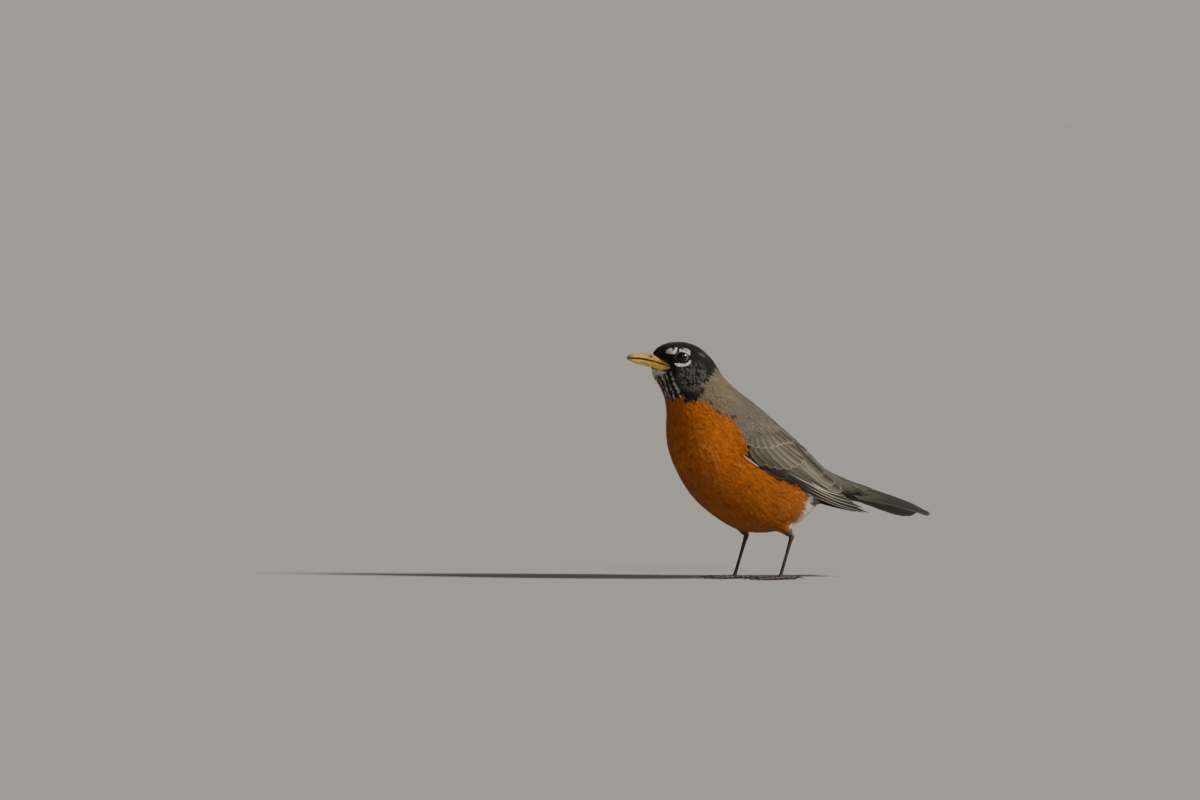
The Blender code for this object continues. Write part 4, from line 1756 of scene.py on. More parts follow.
@dataclass
class Chart:
    """A smooth sheet fitted to one face of CAD nodes: a height over two of the axes.

    Args:
        flat: The two axes that the sheet is laid out on.
        up: The axis of its height.
        sign: Which way along that axis is outward.
        degree: Degree of the fitted polynomial.
        facing: How squarely a triangle has to face outward to be fitted.
    """

    flat: tuple[int, int]
    up: int
    sign: float
    degree: int = 4
    facing: float = 0.25
    middle: Array = field(default_factory=lambda: np.zeros(2))
    weights: Array = field(default_factory=lambda: np.zeros(0))
    reach: float = 50.0

    def powers(self) -> list[tuple[int, int]]:
        """The polynomial's terms."""
        return [(i, j) for i in range(self.degree + 1) for j in range(self.degree + 1 - i)]

    def fit(self, node: str) -> "Chart":
        """Fits the sheet to a node's outward faces.

        Args:
            node: The name of the CAD node.

        Returns:
            The chart itself, fitted.
        """
        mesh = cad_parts[node].data
        points = from_world(np.array([v.co[:] for v in mesh.vertices]))
        faces = [p.vertices[:] for p in mesh.polygons if p.normal[self.up] * self.sign > self.facing]
        used = points[np.unique(np.concatenate(faces))]
        self.middle = used[:, list(self.flat)].mean(0)
        a, b = ((used[:, list(self.flat)] - self.middle) / self.reach).T
        terms = np.stack([a**i * b**j for i, j in self.powers()], 1)
        self.weights = np.linalg.lstsq(terms, used[:, self.up] * self.sign, rcond=None)[0]
        return self

    def place(self, points: Array, lift: Array) -> tuple[Array, Array]:
        """Puts laid-out points on the sheet, lifted along its normals.

        Args:
            points: Points on the two flat axes, (N, 2).
            lift: How far each is lifted.

        Returns:
            The points in space, and the normals there.
        """
        a, b = ((points - self.middle) / self.reach).T
        height, da, db = (np.zeros(len(points)) for _ in range(3))
        for w, (i, j) in zip(self.weights, self.powers()):
            height += w * a**i * b**j
            da += w * i * a ** max(i - 1, 0) * b**j / self.reach
            db += w * j * a**i * b ** max(j - 1, 0) / self.reach
        normal = unit(np.stack([-da, -db, np.ones(len(points))], 1))
        out, outward = np.zeros((2, len(points), 3))
        for k, axis in enumerate(self.flat):
            out[:, axis] = points[:, k] + normal[:, k] * lift
            outward[:, axis] = normal[:, k]
        out[:, self.up] = self.sign * (height + normal[:, 2] * lift)
        outward[:, self.up] = self.sign * normal[:, 2]
        return out, outward


@dataclass(frozen=True)
class VaneLook:
    """The colours of a large feather.

    Args:
        web: Most of the vane.
        middle: Along the shaft.
        outer_edge: The edge of the outer web.
        inner_edge: The edge of the inner web.
        tip: The end.
        edge: Width of the edges in millimetres.
        tip_length: Length of the tip's colour in millimetres.
        from_base: Share of the length where the edges' colour begins.
        fade: Share of the length over which it comes in.
    """

    web: Tone
    middle: Tone
    outer_edge: Tone
    inner_edge: Tone
    tip: Tone
    edge: float = 0.6
    tip_length: float = 0.8
    from_base: float = 0.0
    fade: float = 0.08


COVERT_LOOK = VaneLook(
    Tone.COVERT, Tone.COVERT_DARK, Tone.BUFF, Tone.COVERT, Tone.BUFF, edge=0.45, tip_length=0.7
)
TAIL_LOOK = VaneLook(
    Tone.TAIL, Tone.TAIL_DARK, Tone.VANE_EDGE, Tone.TAIL, Tone.VANE_EDGE,
    edge=0.5, tip_length=0.9, from_base=0.2,
)


@dataclass(frozen=True)
class VaneRow:
    """A row of large feathers, first to last, each lying over the one before.

    Args:
        count: How many.
        bases: Line of their bases on the chart.
        tips: Line of their tips.
        outer: Half-width of the outer web, first and last.
        inner: Half-width of the inner web, first and last.
        look: Their colours.
        lift: Height over the sheet, first and last.
        tilt: How far the outer edge stands above the shaft.
        bow: Sideways sag of the shaft toward the outer side.
        rounding: Share of the length over which the tip closes.
        sharp: How pointed the tip is.
        fray: How worn the edges are.
        steps: Lengths of web along the shaft.
    """

    count: int
    bases: Line
    tips: Line
    outer: tuple[float, float]
    inner: tuple[float, float]
    look: VaneLook
    lift: tuple[float, float] = (0.0, 0.0)
    tilt: float = 0.22
    bow: float = 0.0
    rounding: float = 0.22
    sharp: float = 0.5
    fray: float = 1.0
    steps: int = 24

    def spread(self, line: Line, share: float) -> Array:
        """A point at a share of a line's corners."""
        place = share * (len(line) - 1)
        return np.array([np.interp(place, range(len(line)), axis) for axis in zip(*line)])

    def draped(self, points: Array, across: Array, over: Surface) -> Array:
        """Brings points down onto a surface's upper side where they would stand clear of it.

        Args:
            points: The vane's points.
            across: Where each is between the inner edge, -1, and the outer edge, 1.
            over: The surface.

        Returns:
            The points, with the inner edge laid on the surface.
        """
        place, normal = over.nearest(points)
        clear = ((points - place) * normal).sum(1)
        allowed = 0.9 * smooth(across, -0.9, -0.1)
        share = smooth(normal[:, 2], 0.30, 0.55) * (points[:, 0] < 28)
        return points - normal * (np.clip(clear - allowed, 0, None) * share)[:, None]

    def half(self, c: Array, u: Array, close: Array, widths: Point, rng: Rng) -> Array:
        """The worn outline of one vane.

        Args:
            c: Places across, from -1 at the inner edge to 1 at the outer.
            u: Places along, from 0 to 1.
            close: How far the tip has closed at each.
            widths: Half-widths of the inner and outer web.
            rng: Source of the wear.

        Returns:
            The half-width at each place.
        """
        half = np.where(c > 0, widths[1], widths[0])
        half = half * (0.35 + 0.65 * smooth(u, 0.0, 0.2)) * (1 - close**2) ** self.sharp
        worn = (abs(c) == 1) * self.fray
        fray = 1 + rng.normal(0, 0.03, c.shape) * worn
        notch = (rng.random((len(c), 1)) < 0.10) * worn
        return half * fray * (1 - 0.14 * notch * rng.random())

    def tint(self, c: Array, u: Array, length: float, widths: Point, rng: Rng) -> Array:
        """The colours of one vane.

        Args:
            c: Places across, from -1 at the inner edge to 1 at the outer.
            u: Places along, from 0 to 1.
            length: The vane's length.
            widths: Half-widths of the inner and outer web.
            rng: Source of the differences between vanes.

        Returns:
            A colour for each place.
        """
        look = self.look
        inner, outer = (1.05 * look.edge / width for width in widths)
        colour = np.broadcast_to(look.web.rgb * (1 + 0.07 * rng.normal()), (*c.shape, 3))
        colour = blend(colour, look.middle.rgb, (1 - smooth(abs(c), 0.0, 0.75)) * 0.85)
        colour = colour * (1 - 0.45 * (abs(c) < 0.1))[..., None]
        begun = smooth(u, look.from_base, look.from_base + look.fade)
        colour = blend(colour, look.outer_edge.rgb, (c > 1 - outer) * begun)
        colour = blend(colour, look.inner_edge.rgb, (c < inner - 1) * begun)
        tip = smooth((1 - u) * length, look.tip_length * 1.2, look.tip_length * 0.5)
        return blend(colour, look.tip.rgb, tip)

    def lay(
        self, sheaf: Sheaf, chart: Chart, beside: float, cells: "Cells", rng: Rng, over: Surface | None = None
    ) -> None:
        """Adds the row to a sheaf.

        Args:
            sheaf: Where it goes.
            chart: The sheet it lies on.
            beside: Sign of the outer side on the chart.
            cells: Hands out each vane's patch of the colour map.
            rng: Source of small differences.
            over: A surface that the inner edges are laid down on.
        """
        edge = self.look.edge
        for number in range(self.count):
            share = number / max(self.count - 1, 1)
            base, tip = self.spread(self.bases, share), self.spread(self.tips, share)
            pairs = (self.outer, self.inner, self.lift)
            outer, inner, lift = (np.interp(share, (0, 1), pair) for pair in pairs)
            length = float(np.linalg.norm(tip - base))
            t = (tip - base) / length
            n = np.array((t[1], -t[0])) * beside
            inward = (-1, -1 + edge / inner, -1 + 1.25 * edge / inner, -0.45, -0.06)
            side = (*inward, 0.06, 0.45, 1 - 1.25 * edge / outer, 1 - edge / outer, 1)
            c, u = np.meshgrid(side, 1 - (1 - np.linspace(0, 1, self.steps + 1)) ** 1.4)
            close = np.clip((u - (1 - self.rounding)) / self.rounding, 0, 1)
            half = self.half(c, u, close, (inner, outer), rng)
            bow = self.bow * 4 * u * (1 - u)
            along = u * length + 0.30 * abs(c) * half * (1 - close) * (u < 0.97)
            plane = base + along[..., None] * t + (bow + c * half)[..., None] * n
            height = lift + self.tilt * c - 0.10 * c**2 * np.minimum(half, 4) + 0.08 * (abs(c) < 0.1)
            height = height + 0.04 * rng.normal() * u
            points, outward = chart.place(plane.reshape(-1, 2), height.ravel())
            if over is not None:
                points = self.draped(points, c.ravel(), over)
            colour = self.tint(c, u, length, (inner, outer), rng).reshape(-1, 3)
            wide = len(side)
            a = (np.arange(self.steps)[:, None] * wide + np.arange(wide - 1)).ravel()
            web = ((a, a + 1, a + wide + 1), (a, a + wide + 1, a + wide))
            triangles = np.concatenate([np.stack(corners, 1) for corners in web])
            start, one, two = triangles[len(a) // 2]
            facing = np.cross(points[one] - points[start], points[two] - points[start])
            if facing @ outward[start] < 0:
                triangles = triangles[:, ::-1]
            lines = points.reshape(*c.shape, 3)
            curl = (0.16 * c[..., None] * unit(lines[:, -1] - lines[:, 0])[:, None]).reshape(-1, 3)
            barb = (along + abs(c) * half * 1.2).ravel()
            patch = cells.patch(u.ravel(), c.ravel())
            sheaf.add(points, triangles, colour, patch, barb, unit(outward + curl))


@dataclass
class Cells:
    """Hands out patches of the colour map, one for each large feather.

    Args:
        across: Patches in each row of the map.
    """

    across: int = 8
    used: int = 0

    def patch(self, u: Array, c: Array) -> Array:
        """Hands out the next patch.

        Args:
            u: Places along the feather, from 0 to 1.
            c: Places across it, from -1 to 1.

        Returns:
            Each place's coordinates on the colour map.
        """
        row, column = divmod(self.used, self.across)
        self.used += 1
        x = (column + 0.1 + 0.8 * (c + 1) / 2) / self.across
        y = (row + 0.08 + 0.84 * u) / self.across
        return np.stack([x, y], 1)


@dataclass
class Wing:
    """A folded wing: a core under rows of laid vanes.

    Args:
        side: Which side of the bird.
        core_sink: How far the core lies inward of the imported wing.
        core_end: Where the core stops; the primaries go on alone.
        rows: The rows of vanes, lowest first.
    """

    side: Side
    core_sink: float = 1.4
    core_end: float = 30.0
    rows: tuple[VaneRow, ...] = (
        VaneRow(  # primaries
            5,
            ((-21.0, 80.5), (-6.0, 87.0)),
            ((61.0, 46.8), (65.0, 47.0), (60.5, 50.8), (53.5, 55.0), (46.0, 59.4)),
            outer=(1.6, 2.0), inner=(3.0, 4.2), lift=(-1.35, -0.2),
            look=VaneLook(
                Tone.QUILL, Tone.DARK_VANE, Tone.PALE_EDGE, Tone.DARK_VANE, Tone.QUILL,
                edge=0.5, tip_length=0.5, from_base=0.30, fade=0.3,
            ),
            tilt=0.12, bow=3.2, rounding=0.42, sharp=0.9, fray=0.12,
        ),
        VaneRow(  # secondaries
            7,
            ((-15.0, 85.5), (6.0, 95.0)),
            ((37.5, 62.8), (42.0, 65.0)),
            outer=(2.3, 3.4), inner=(3.6, 5.0), lift=(-0.30, 0.10),
            look=VaneLook(
                Tone.VANE, Tone.SLATE, Tone.PALE_EDGE, Tone.DARK_VANE, Tone.BUFF,
                edge=0.45, tip_length=0.6, from_base=0.2, fade=0.3,
            ),
            tilt=0.16, bow=1.6, rounding=0.16, sharp=0.5, fray=0.5,
        ),
        VaneRow(  # tertials
            3,
            ((0.0, 93.0), (5.0, 99.0)),
            ((42.5, 63.6), (36.5, 69.2), (28.0, 76.2)),
            outer=(5.0, 5.4), inner=(5.0, 4.4), lift=(0.15, 0.5),
            look=VaneLook(
                Tone.VANE, Tone.DARK_VANE, Tone.VANE_EDGE, Tone.VANE_EDGE, Tone.VANE_EDGE,
                edge=0.7, tip_length=0.7,
            ),
            tilt=0.2, bow=1.2, rounding=0.2, sharp=0.5,
        ),
        VaneRow(  # the bend's white edge
            1,
            ((-37.6, 90.4),),
            ((-25.8, 82.2),),
            outer=(0.35, 0.35), inner=(0.55, 0.55), lift=(0.75, 0.75),
            look=VaneLook(*(Tone.WHITE,) * 5, edge=0.3, tip_length=0.3),
            tilt=0.1, bow=0.3, rounding=0.3, sharp=0.8,
        ),
        VaneRow(  # primary coverts
            5,
            ((-31.0, 87.0), (-28.0, 92.0)),
            ((-5.0, 73.5), (-3.0, 77.5)),
            outer=(2.0, 2.0), inner=(3.0, 3.0), lift=(-0.2, 0.0),
            look=VaneLook(
                Tone.SLATE, Tone.DARK_VANE, Tone.VANE_EDGE, Tone.DARK_VANE, Tone.VANE,
                edge=0.4, tip_length=0.5,
            ),
            tilt=0.15, bow=0.8, rounding=0.25, sharp=0.6,
        ),
        VaneRow(  # alula
            3,
            ((-35.5, 91.0), (-34.0, 95.0)),
            ((-22.0, 80.5), (-18.0, 84.0)),
            outer=(2.2, 2.4), inner=(2.6, 3.0), lift=(0.0, 0.25),
            look=VaneLook(
                Tone.DARK_VANE, Tone.DARK_VANE, Tone.VANE, Tone.DARK_VANE, Tone.SLATE,
                edge=0.35, tip_length=0.5,
            ),
            tilt=0.15, bow=0.8, rounding=0.3, sharp=0.6,
        ),
        VaneRow(  # greater coverts
            9,
            ((-33.0, 97.0), (-3.0, 104.0)),
            ((-21.0, 84.0), (-14.5, 82.0), (-8.6, 80.8), (-2.0, 80.8), (3.0, 82.2))
            + ((8.0, 84.0), (11.0, 86.5), (14.5, 90.0), (18.0, 93.0)),
            outer=(3.1, 3.4), inner=(3.3, 3.6), lift=(0.45, 0.45),
            look=COVERT_LOOK,
            tilt=0.25, bow=1.0, rounding=0.16, sharp=0.5,
        ),
        VaneRow(  # median coverts
            8,
            ((-33.0, 103.0), (-8.0, 107.0)),
            ((-32.0, 97.5), (-27.0, 95.5), (-20.5, 95.0), (-14.0, 96.0))
            + ((-8.0, 98.0), (-2.0, 99.5), (4.0, 99.5)),
            outer=(3.2, 3.6), inner=(3.4, 3.6), lift=(0.75, 0.75),
            look=replace(COVERT_LOOK, tip_length=0.8),
            tilt=0.2, bow=0.4, rounding=0.35, sharp=0.5,
        ),
    )

    @property
    def name(self) -> str:
        """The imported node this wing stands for."""
        return f"wing_{self.side.word}"

    def core(self, material: Material) -> Piece:
        """Makes the flesh and feather bases under the vanes.

        Args:
            material: Its finish.

        Returns:
            The core.
        """
        made = remeshed(f"{self.name}_core", (self.name,), 0.8, 6)
        mesh = made.data
        bm = bmesh.new()
        bm.from_mesh(mesh)
        bmesh.ops.translate(bm, verts=bm.verts, vec=(0.0, -self.side.value * self.core_sink * MM, 0.0))
        end = ((self.core_end - ORIGIN_X) * MM, 0, 0)
        everything = [*bm.verts, *bm.edges, *bm.faces]
        bmesh.ops.bisect_plane(bm, geom=everything, plane_co=end, plane_no=(1, 0, 0), clear_outer=True)
        bmesh.ops.holes_fill(bm, edges=[e for e in bm.edges if e.is_boundary])
        bm.to_mesh(mesh)
        bm.free()
        set_tint(mesh, Tone.SLATE.over(mesh.vertices))
        mesh.materials.append(material)
        return made

    def build(self, finish: FeatherFinish, hull: Surface) -> list[Piece]:
        """Makes the vanes, laid down on the hull, and the core.

        Args:
            finish: Their finish.
            hull: The bird's outline.

        Returns:
            Both pieces.
        """
        rng = np.random.default_rng(SEED + 1)
        chart = Chart((0, 2), 1, self.side.value).fit(self.name)
        sheaf, cells = Sheaf(), Cells()
        for row in self.rows:
            row.lay(sheaf, chart, 1.0, cells, rng, hull)
        material = finish.make()
        return [sheaf.build(f"{self.name}_vanes", material), self.core(material)]


@dataclass
class Tail:
    """The folded tail: twelve long feathers, the middle pair on top.

    Args:
        pairs: How many feathers on each side.
        root: Where they start along the bird.
        end: Where the middle pair ends.
        look: The feathers' colours.
        corner: The colours of the outermost pair, with its pale corner.
    """

    pairs: int = 6
    root: float = 46.0
    end: float = 111.3
    look: VaneLook = TAIL_LOOK
    corner: VaneLook = replace(TAIL_LOOK, tip=Tone.BUFF, tip_length=1.6, from_base=0.1)

    def feather(self, number: int, side: Side) -> VaneRow:
        """One feather.

        Args:
            number: Its place from the outermost, which is 0.
            side: Which side of the tail.

        Returns:
            The feather, as a row of its own.
        """
        share = 1 - number / (self.pairs - 1)
        end = self.end - 1.6 * share**4 - 1.0 * (share == 0)
        return VaneRow(
            1,
            ((self.root, side.value * (0.6 + 4.5 * share)),),
            ((end, side.value * (2.6 + 14.2 * share)),),
            outer=(3.4, 3.4) if number == 0 else (4.4, 4.4),
            inner=(5.6, 5.6),
            lift=(-0.9 * share - 0.1,) * 2,
            look=self.corner if number == 0 else self.look,
            tilt=0.12, bow=0.6, rounding=0.13, sharp=0.5,
        )

    def build(self, finish: FeatherFinish) -> Piece:
        """Makes the vanes.

        Args:
            finish: Their finish.

        Returns:
            The vanes as one piece.
        """
        rng = np.random.default_rng(SEED + 2)
        chart = Chart((0, 1), 2, 1.0, degree=5).fit("tail")
        sheaf, cells = Sheaf(), Cells(4)
        for number in range(self.pairs):
            for side in Side:
                self.feather(number, side).lay(sheaf, chart, side.value, cells, rng)
        return sheaf.build("tail_vanes", finish.make())


# --- bare parts


def painted(name: str, bm: BMesh, paint: Callable[[Array], Array], material: Material) -> Piece:
    """A smooth piece of a bmesh in the bird's millimetres, with its tint painted by place.

    Args:
        name: The piece's name.
        bm: The shape, which is freed.
        paint: Gives a colour for each point.
        material: Its finish.

    Returns:
        The piece.
    """
    bmesh.ops.remove_doubles(bm, verts=bm.verts, dist=0.001)
    bmesh.ops.recalc_face_normals(bm, faces=bm.faces)
    places = np.array([v.co[:] for v in bm.verts])
    for vertex, place in zip(bm.verts, to_world(places)):
        vertex.co = place
    mesh = bpy.data.meshes.new(name)
    bm.to_mesh(mesh)
    bm.free()
    set_tint(mesh, paint(places))
    shade_smooth(mesh)
    mesh.materials.append(material)
    return placed(name, mesh)


@dataclass
class Bill:
    """The bill, in two halves that flare into the corners of the gape.

    Args:
        line: The mouth line in the unturned profile.
        culmen: The upper edge.
        gonys: The lower edge.
        widths: Half-widths along the bill.
        seam: Half the width of the mouth line's painted shade along the bill.
        part: Half the gap between the two halves.
        arch: Share of a half's ring that is its outer arch; the rest closes it.
        nostril: The nostril in profile, a pit in the upper half with painted shade in it.
        patch: The pink patch on the lower half.
    """

    line: Line = ((-112.6, 159.9), (-103.0, 159.2), (-94.1, 157.6), (-87.0, 155.6), (-82.0, 153.4))
    culmen: Line = (
        (-112.6, 160.4), (-111.6, 161.3), (-110.0, 162.1), (-107.2, 163.0), (-101.2, 163.5), (-94.7, 162.9),
        (-82.0, 155.0),
    )
    gonys: Line = (
        (-112.6, 159.4), (-111.6, 158.4), (-110.0, 157.4), (-107.2, 156.0), (-101.2, 154.3), (-94.1, 152.6),
        (-88.0, 150.8), (-82.0, 151.4),
    )
    widths: Line = (
        (-112.6, 0.25), (-111.6, 0.9), (-108.0, 1.9), (-101.0, 3.1), (-96.0, 4.2), (-92.0, 5.6),
        (-88.0, 7.3), (-85.0, 8.9), (-82.0, 10.4),
    )
    seam: Line = ((-112.6, 0.30), (-108.5, 0.80), (-97.0, 0.90), (-92.0, 0.45), (-84.0, 0.30))
    part: float = 0.28
    arch: float = 0.72
    nostril: Oval = Oval((-96.2, 160.6), (2.2, 1.1))
    patch: Oval = Oval((-100.0, 156.2), (3.4, 1.6))

    def level(self, line: Line, x: float) -> float:
        """A line's height at x."""
        return float(np.interp(x, *zip(*line)))

    def ring(self, upper: bool, around: float, along: float) -> Triple:
        """A point of one half, before the head is turned.

        Args:
            upper: Which half.
            around: Its place round the half's ring, from 0 to 1.
            along: Its place from the tip to the gape, from 0 to 1.

        Returns:
            The point.
        """
        sense = 1.0 if upper else -1.0
        tip, root = self.line[0][0], self.line[-1][0]
        x = tip + (root - tip) * along**1.15
        flat = self.level(self.line, x) + sense * self.part * min(1.0, (1 - along) * 4 + 0.35)
        width = self.level(self.widths, x)
        if around < self.arch:
            angle = math.pi * around / self.arch
            full = float(smooth(np.array(x), -99.0, -91.0))
            boxy = 0.85 * (1 - full) + 0.32 * full
            y = -width * math.copysign(abs(math.cos(angle)) ** boxy, math.cos(angle))
            arch = self.level(self.culmen if upper else self.gonys, x)
            z = flat + (arch - flat) * math.sin(angle) ** (0.9 if upper else 0.7)
        else:
            share = (around - self.arch) / (1 - self.arch)
            y = width * (1 - 2 * share)
            z = flat - sense * self.part * 1.2 * math.sin(math.pi * share) ** 0.4
        if upper:
            ahead, above = x - self.nostril.centre[0], z - self.nostril.centre[1]
            pit = math.exp(-((ahead / 1.3) ** 2) - ((above + 0.25 * ahead) / 0.55) ** 2)
            y -= math.copysign(0.7 * pit, y)
        return x, y, z

    def half(self, upper: bool) -> BMesh:
        """One half as a tube of arches.

        Args:
            upper: Which half.

        Returns:
            Its shape.
        """
        bm = bmesh.new()
        made = bmesh.ops.create_grid(bm, x_segments=56, y_segments=90, size=1.0)
        for vertex in made["verts"]:
            place = self.ring(upper, (vertex.co.x + 1) / 2, (vertex.co.y + 1) / 2)
            vertex.co = Vector(BODY.turned(np.array(place), 1.0))
        bmesh.ops.remove_doubles(bm, verts=bm.verts, dist=0.002)
        bmesh.ops.holes_fill(bm, edges=[e for e in bm.edges if e.is_boundary])
        return bm

    def paint(self, upper: bool, points: Array) -> Array:
        """The bill's colours, with painted shade in the nostril's pit and along the mouth line.

        Args:
            upper: Which half.
            points: Points of the posed bird.

        Returns:
            A colour for each.
        """
        profile = BODY.turned(points, -1.0)[:, [0, 2]]
        x, z = profile.T
        over = np.abs(z - np.interp(x, *zip(*self.line)))
        tint = blend(Tone.BILL_YELLOW.rgb, Tone.BILL_ORANGE.rgb, smooth(x, -101, -88))
        if upper:
            tint = blend(tint, Tone.BILL_HORN.rgb, 0.7 * smooth(over, 1.6, 3.6) * smooth(x, -108, -97))
            # painted shade in the nostril's pit
            tint = blend(tint, Tone.BILL_DUSK.rgb, 0.6 * (1 - smooth(self.nostril.out(profile), 0.5, 1.2)))
        else:
            tint = np.minimum(tint * np.array((1.2, 1.08, 1.08)), 1.0)
            tint = blend(tint, Tone.BILL_PINK.rgb, 0.7 * (1 - smooth(self.patch.out(profile), 0.4, 1.0)))
        tint = blend(tint, Tone.BILL_DUSK.rgb, 0.75 * (1 - smooth(x, -111.5, -108.0)))
        tint = blend(tint, Tone.BILL_PINK.rgb, smooth(x, -87.0, -84.0))
        # painted shade: the mouth line between the halves is darkened almost to black
        seam = np.interp(x, *zip(*self.seam))
        return blend(tint, Tone.BILL_DUSK.rgb * 0.15, 1 - smooth(over, 0.7 * seam, 1.1 * seam))

    def build(self, finish: HornFinish) -> list[Piece]:
        """Makes both halves.

        Args:
            finish: Their finish.

        Returns:
            The upper and the lower half.
        """
        material = finish.make()
        return [
            painted(name, self.half(upper), partial(self.paint, upper), material)
            for name, upper in (("bill_upper_horn", True), ("bill_lower_horn", False))
        ]


@dataclass
class Eye:
    """An eyeball with its lids.

    Args:
        side: Which side of the head.
        radius: The eyeball's radius.
        opening: Radius of the opening between the lids.
        pupil: Radius of the pupil.
        oval: How wide and how tall the lids' ring is, against a round one.
        bare: The bare lid's section, as steps out from the opening and up.
        feathered: The section of the feathered skin beyond it.
    """

    side: Side
    radius: float = 5.2
    opening: float = 3.78
    pupil: float = 2.35
    oval: Point = (1.05, 0.97)
    bare: Line = ((-0.26, 0.05), (-0.14, 0.16), (0.02, 0.21), (0.16, 0.17), (0.26, 0.06))
    feathered: Line = ((0.34, 0.0), (0.55, -0.03), (0.8, -0.12), (1.1, -0.30), (1.35, -0.60), (1.5, -1.4))

    def axes(self) -> Matrix:
        """The eyeball's own frame, whose z looks out, a little forward and up.

        Returns:
            The frame, from the eyeball's points to the bird's.
        """
        z = Vector(BODY.turned(np.array((-0.20, self.side.value, 0.04)), 1.0, vectors=True)).normalized()
        x = Vector((0, 0, 1)).cross(z).normalized()
        turn = Matrix((x, z.cross(x), z)).transposed().to_4x4()
        return Matrix.Translation(Vector(BODY.eye_centre(self.side))) @ turn

    def local(self, points: Array) -> tuple[Array, Array]:
        """Where points of the posed bird lie across and up the eyeball."""
        inverse = np.array(self.axes().inverted())
        return tuple((points @ inverse[:3, :3].T + inverse[:3, 3]).T[:2])

    def iris(self, points: Array) -> Array:
        """The eyeball's colours: a dark iris round a black pupil.

        Args:
            points: Points of the posed bird.

        Returns:
            A colour for each.
        """
        x, y = self.local(points)
        r = np.hypot(x, y)
        spokes = 1 + 0.25 * np.sin(np.arctan2(y, x) * 37)
        tint = blend(
            Tone.PUPIL.rgb, Tone.IRIS.rgb * spokes[:, None], smooth(r, self.pupil - 0.1, self.pupil + 0.12)
        )
        return blend(tint, 3 * Tone.PUPIL.rgb, smooth(r, self.opening - 0.45, self.opening - 0.1))

    def skin(self, points: Array) -> Array:
        """The lids' colours.

        Args:
            points: Points of the posed bird.

        Returns:
            A colour for each.
        """
        x, y = self.local(points)
        r = np.hypot(x / self.oval[0], y / self.oval[1]) - self.opening
        white = MARKINGS.eye_marks(BODY.straight(points)[:, [0, 2]])
        skirt = blend(Tone.BLACK.rgb * 1.5, Tone.WHITE.rgb, white)
        lid = blend(Tone.LID_DARK.rgb, Tone.LID.rgb, smooth(r, -0.12, 0.02))
        return blend(lid, skirt, smooth(r, 0.24, 0.34))

    def ball(self, material: Material) -> Piece:
        """The eyeball.

        Args:
            material: Its finish.

        Returns:
            The eyeball.
        """
        bm = bmesh.new()
        bmesh.ops.create_uvsphere(bm, u_segments=64, v_segments=96, radius=self.radius)
        bmesh.ops.transform(bm, matrix=self.axes(), verts=bm.verts)
        return painted(f"eyeball_{self.side.word}", bm, self.iris, material)

    def lids(self, material: Material) -> Piece:
        """The ring of bare lid round the opening, and the feathered skin that it rises from.

        Args:
            material: Its finish.

        Returns:
            The ring.
        """
        bm = bmesh.new()
        height = math.sqrt(self.radius**2 - self.opening**2)
        section = (*self.bare, *self.feathered)
        verts = [bm.verts.new((self.opening + r, 0.0, height + h)) for r, h in section]
        edges = [bm.edges.new(pair) for pair in zip(verts[:-1], verts[1:])]
        around = {"cent": (0, 0, 0), "axis": (0, 0, 1), "angle": 2 * math.pi, "steps": 72, "use_merge": True}
        bmesh.ops.spin(bm, geom=[*verts, *edges], **around)
        for vertex in bm.verts:
            bead = 1 + 0.012 * math.sin(math.atan2(vertex.co.y, vertex.co.x) * 36)
            vertex.co.x *= self.oval[0] * bead
            vertex.co.y *= self.oval[1] * bead
        bmesh.ops.transform(bm, matrix=self.axes(), verts=bm.verts)
        return painted(f"lids_{self.side.word}", bm, self.skin, material)


def tube(bm: BMesh, path: Array, radii: Sequence[float], sides: int = 14) -> None:
    """Adds a closed round tube along a path that never runs straight across the bird.

    Args:
        bm: Where it goes.
        path: The middle of each ring, (N, 3).
        radii: Each ring's radius.
        sides: Points in a ring.
    """
    ahead = unit(np.gradient(path, axis=0))
    aside = unit(np.cross(ahead, np.array((0.0, 1.0, 0.0))))
    below = np.cross(ahead, aside)
    turns = np.linspace(0, 2 * math.pi, sides, endpoint=False)[None, :, None]
    spokes = np.cos(turns) * aside[:, None] + np.sin(turns) * below[:, None]
    rings = path[:, None] + np.asarray(radii)[:, None, None] * spokes
    last = len(path) - 1
    made = bmesh.ops.create_grid(bm, x_segments=sides, y_segments=last, size=1.0)["verts"]
    for vertex in made:
        turn, ring = round((vertex.co.x + 1) / 2 * sides) % sides, round((vertex.co.y + 1) / 2 * last)
        vertex.co = rings[ring, turn]
    bmesh.ops.remove_doubles(bm, verts=made, dist=0.0001)
    bmesh.ops.holes_fill(bm, edges=[e for e in bm.edges if e.is_boundary])


@dataclass(frozen=True)
class Toe:
    """A toe and its claw.

    Args:
        ahead: Where it starts ahead of the foot's middle.
        beside: Where it starts outward of the foot's middle.
        angle: How far it points outward, in degrees.
        length: Its length.
        claw: Its claw's length.
    """

    ahead: float
    beside: float
    angle: float
    length: float
    claw: float


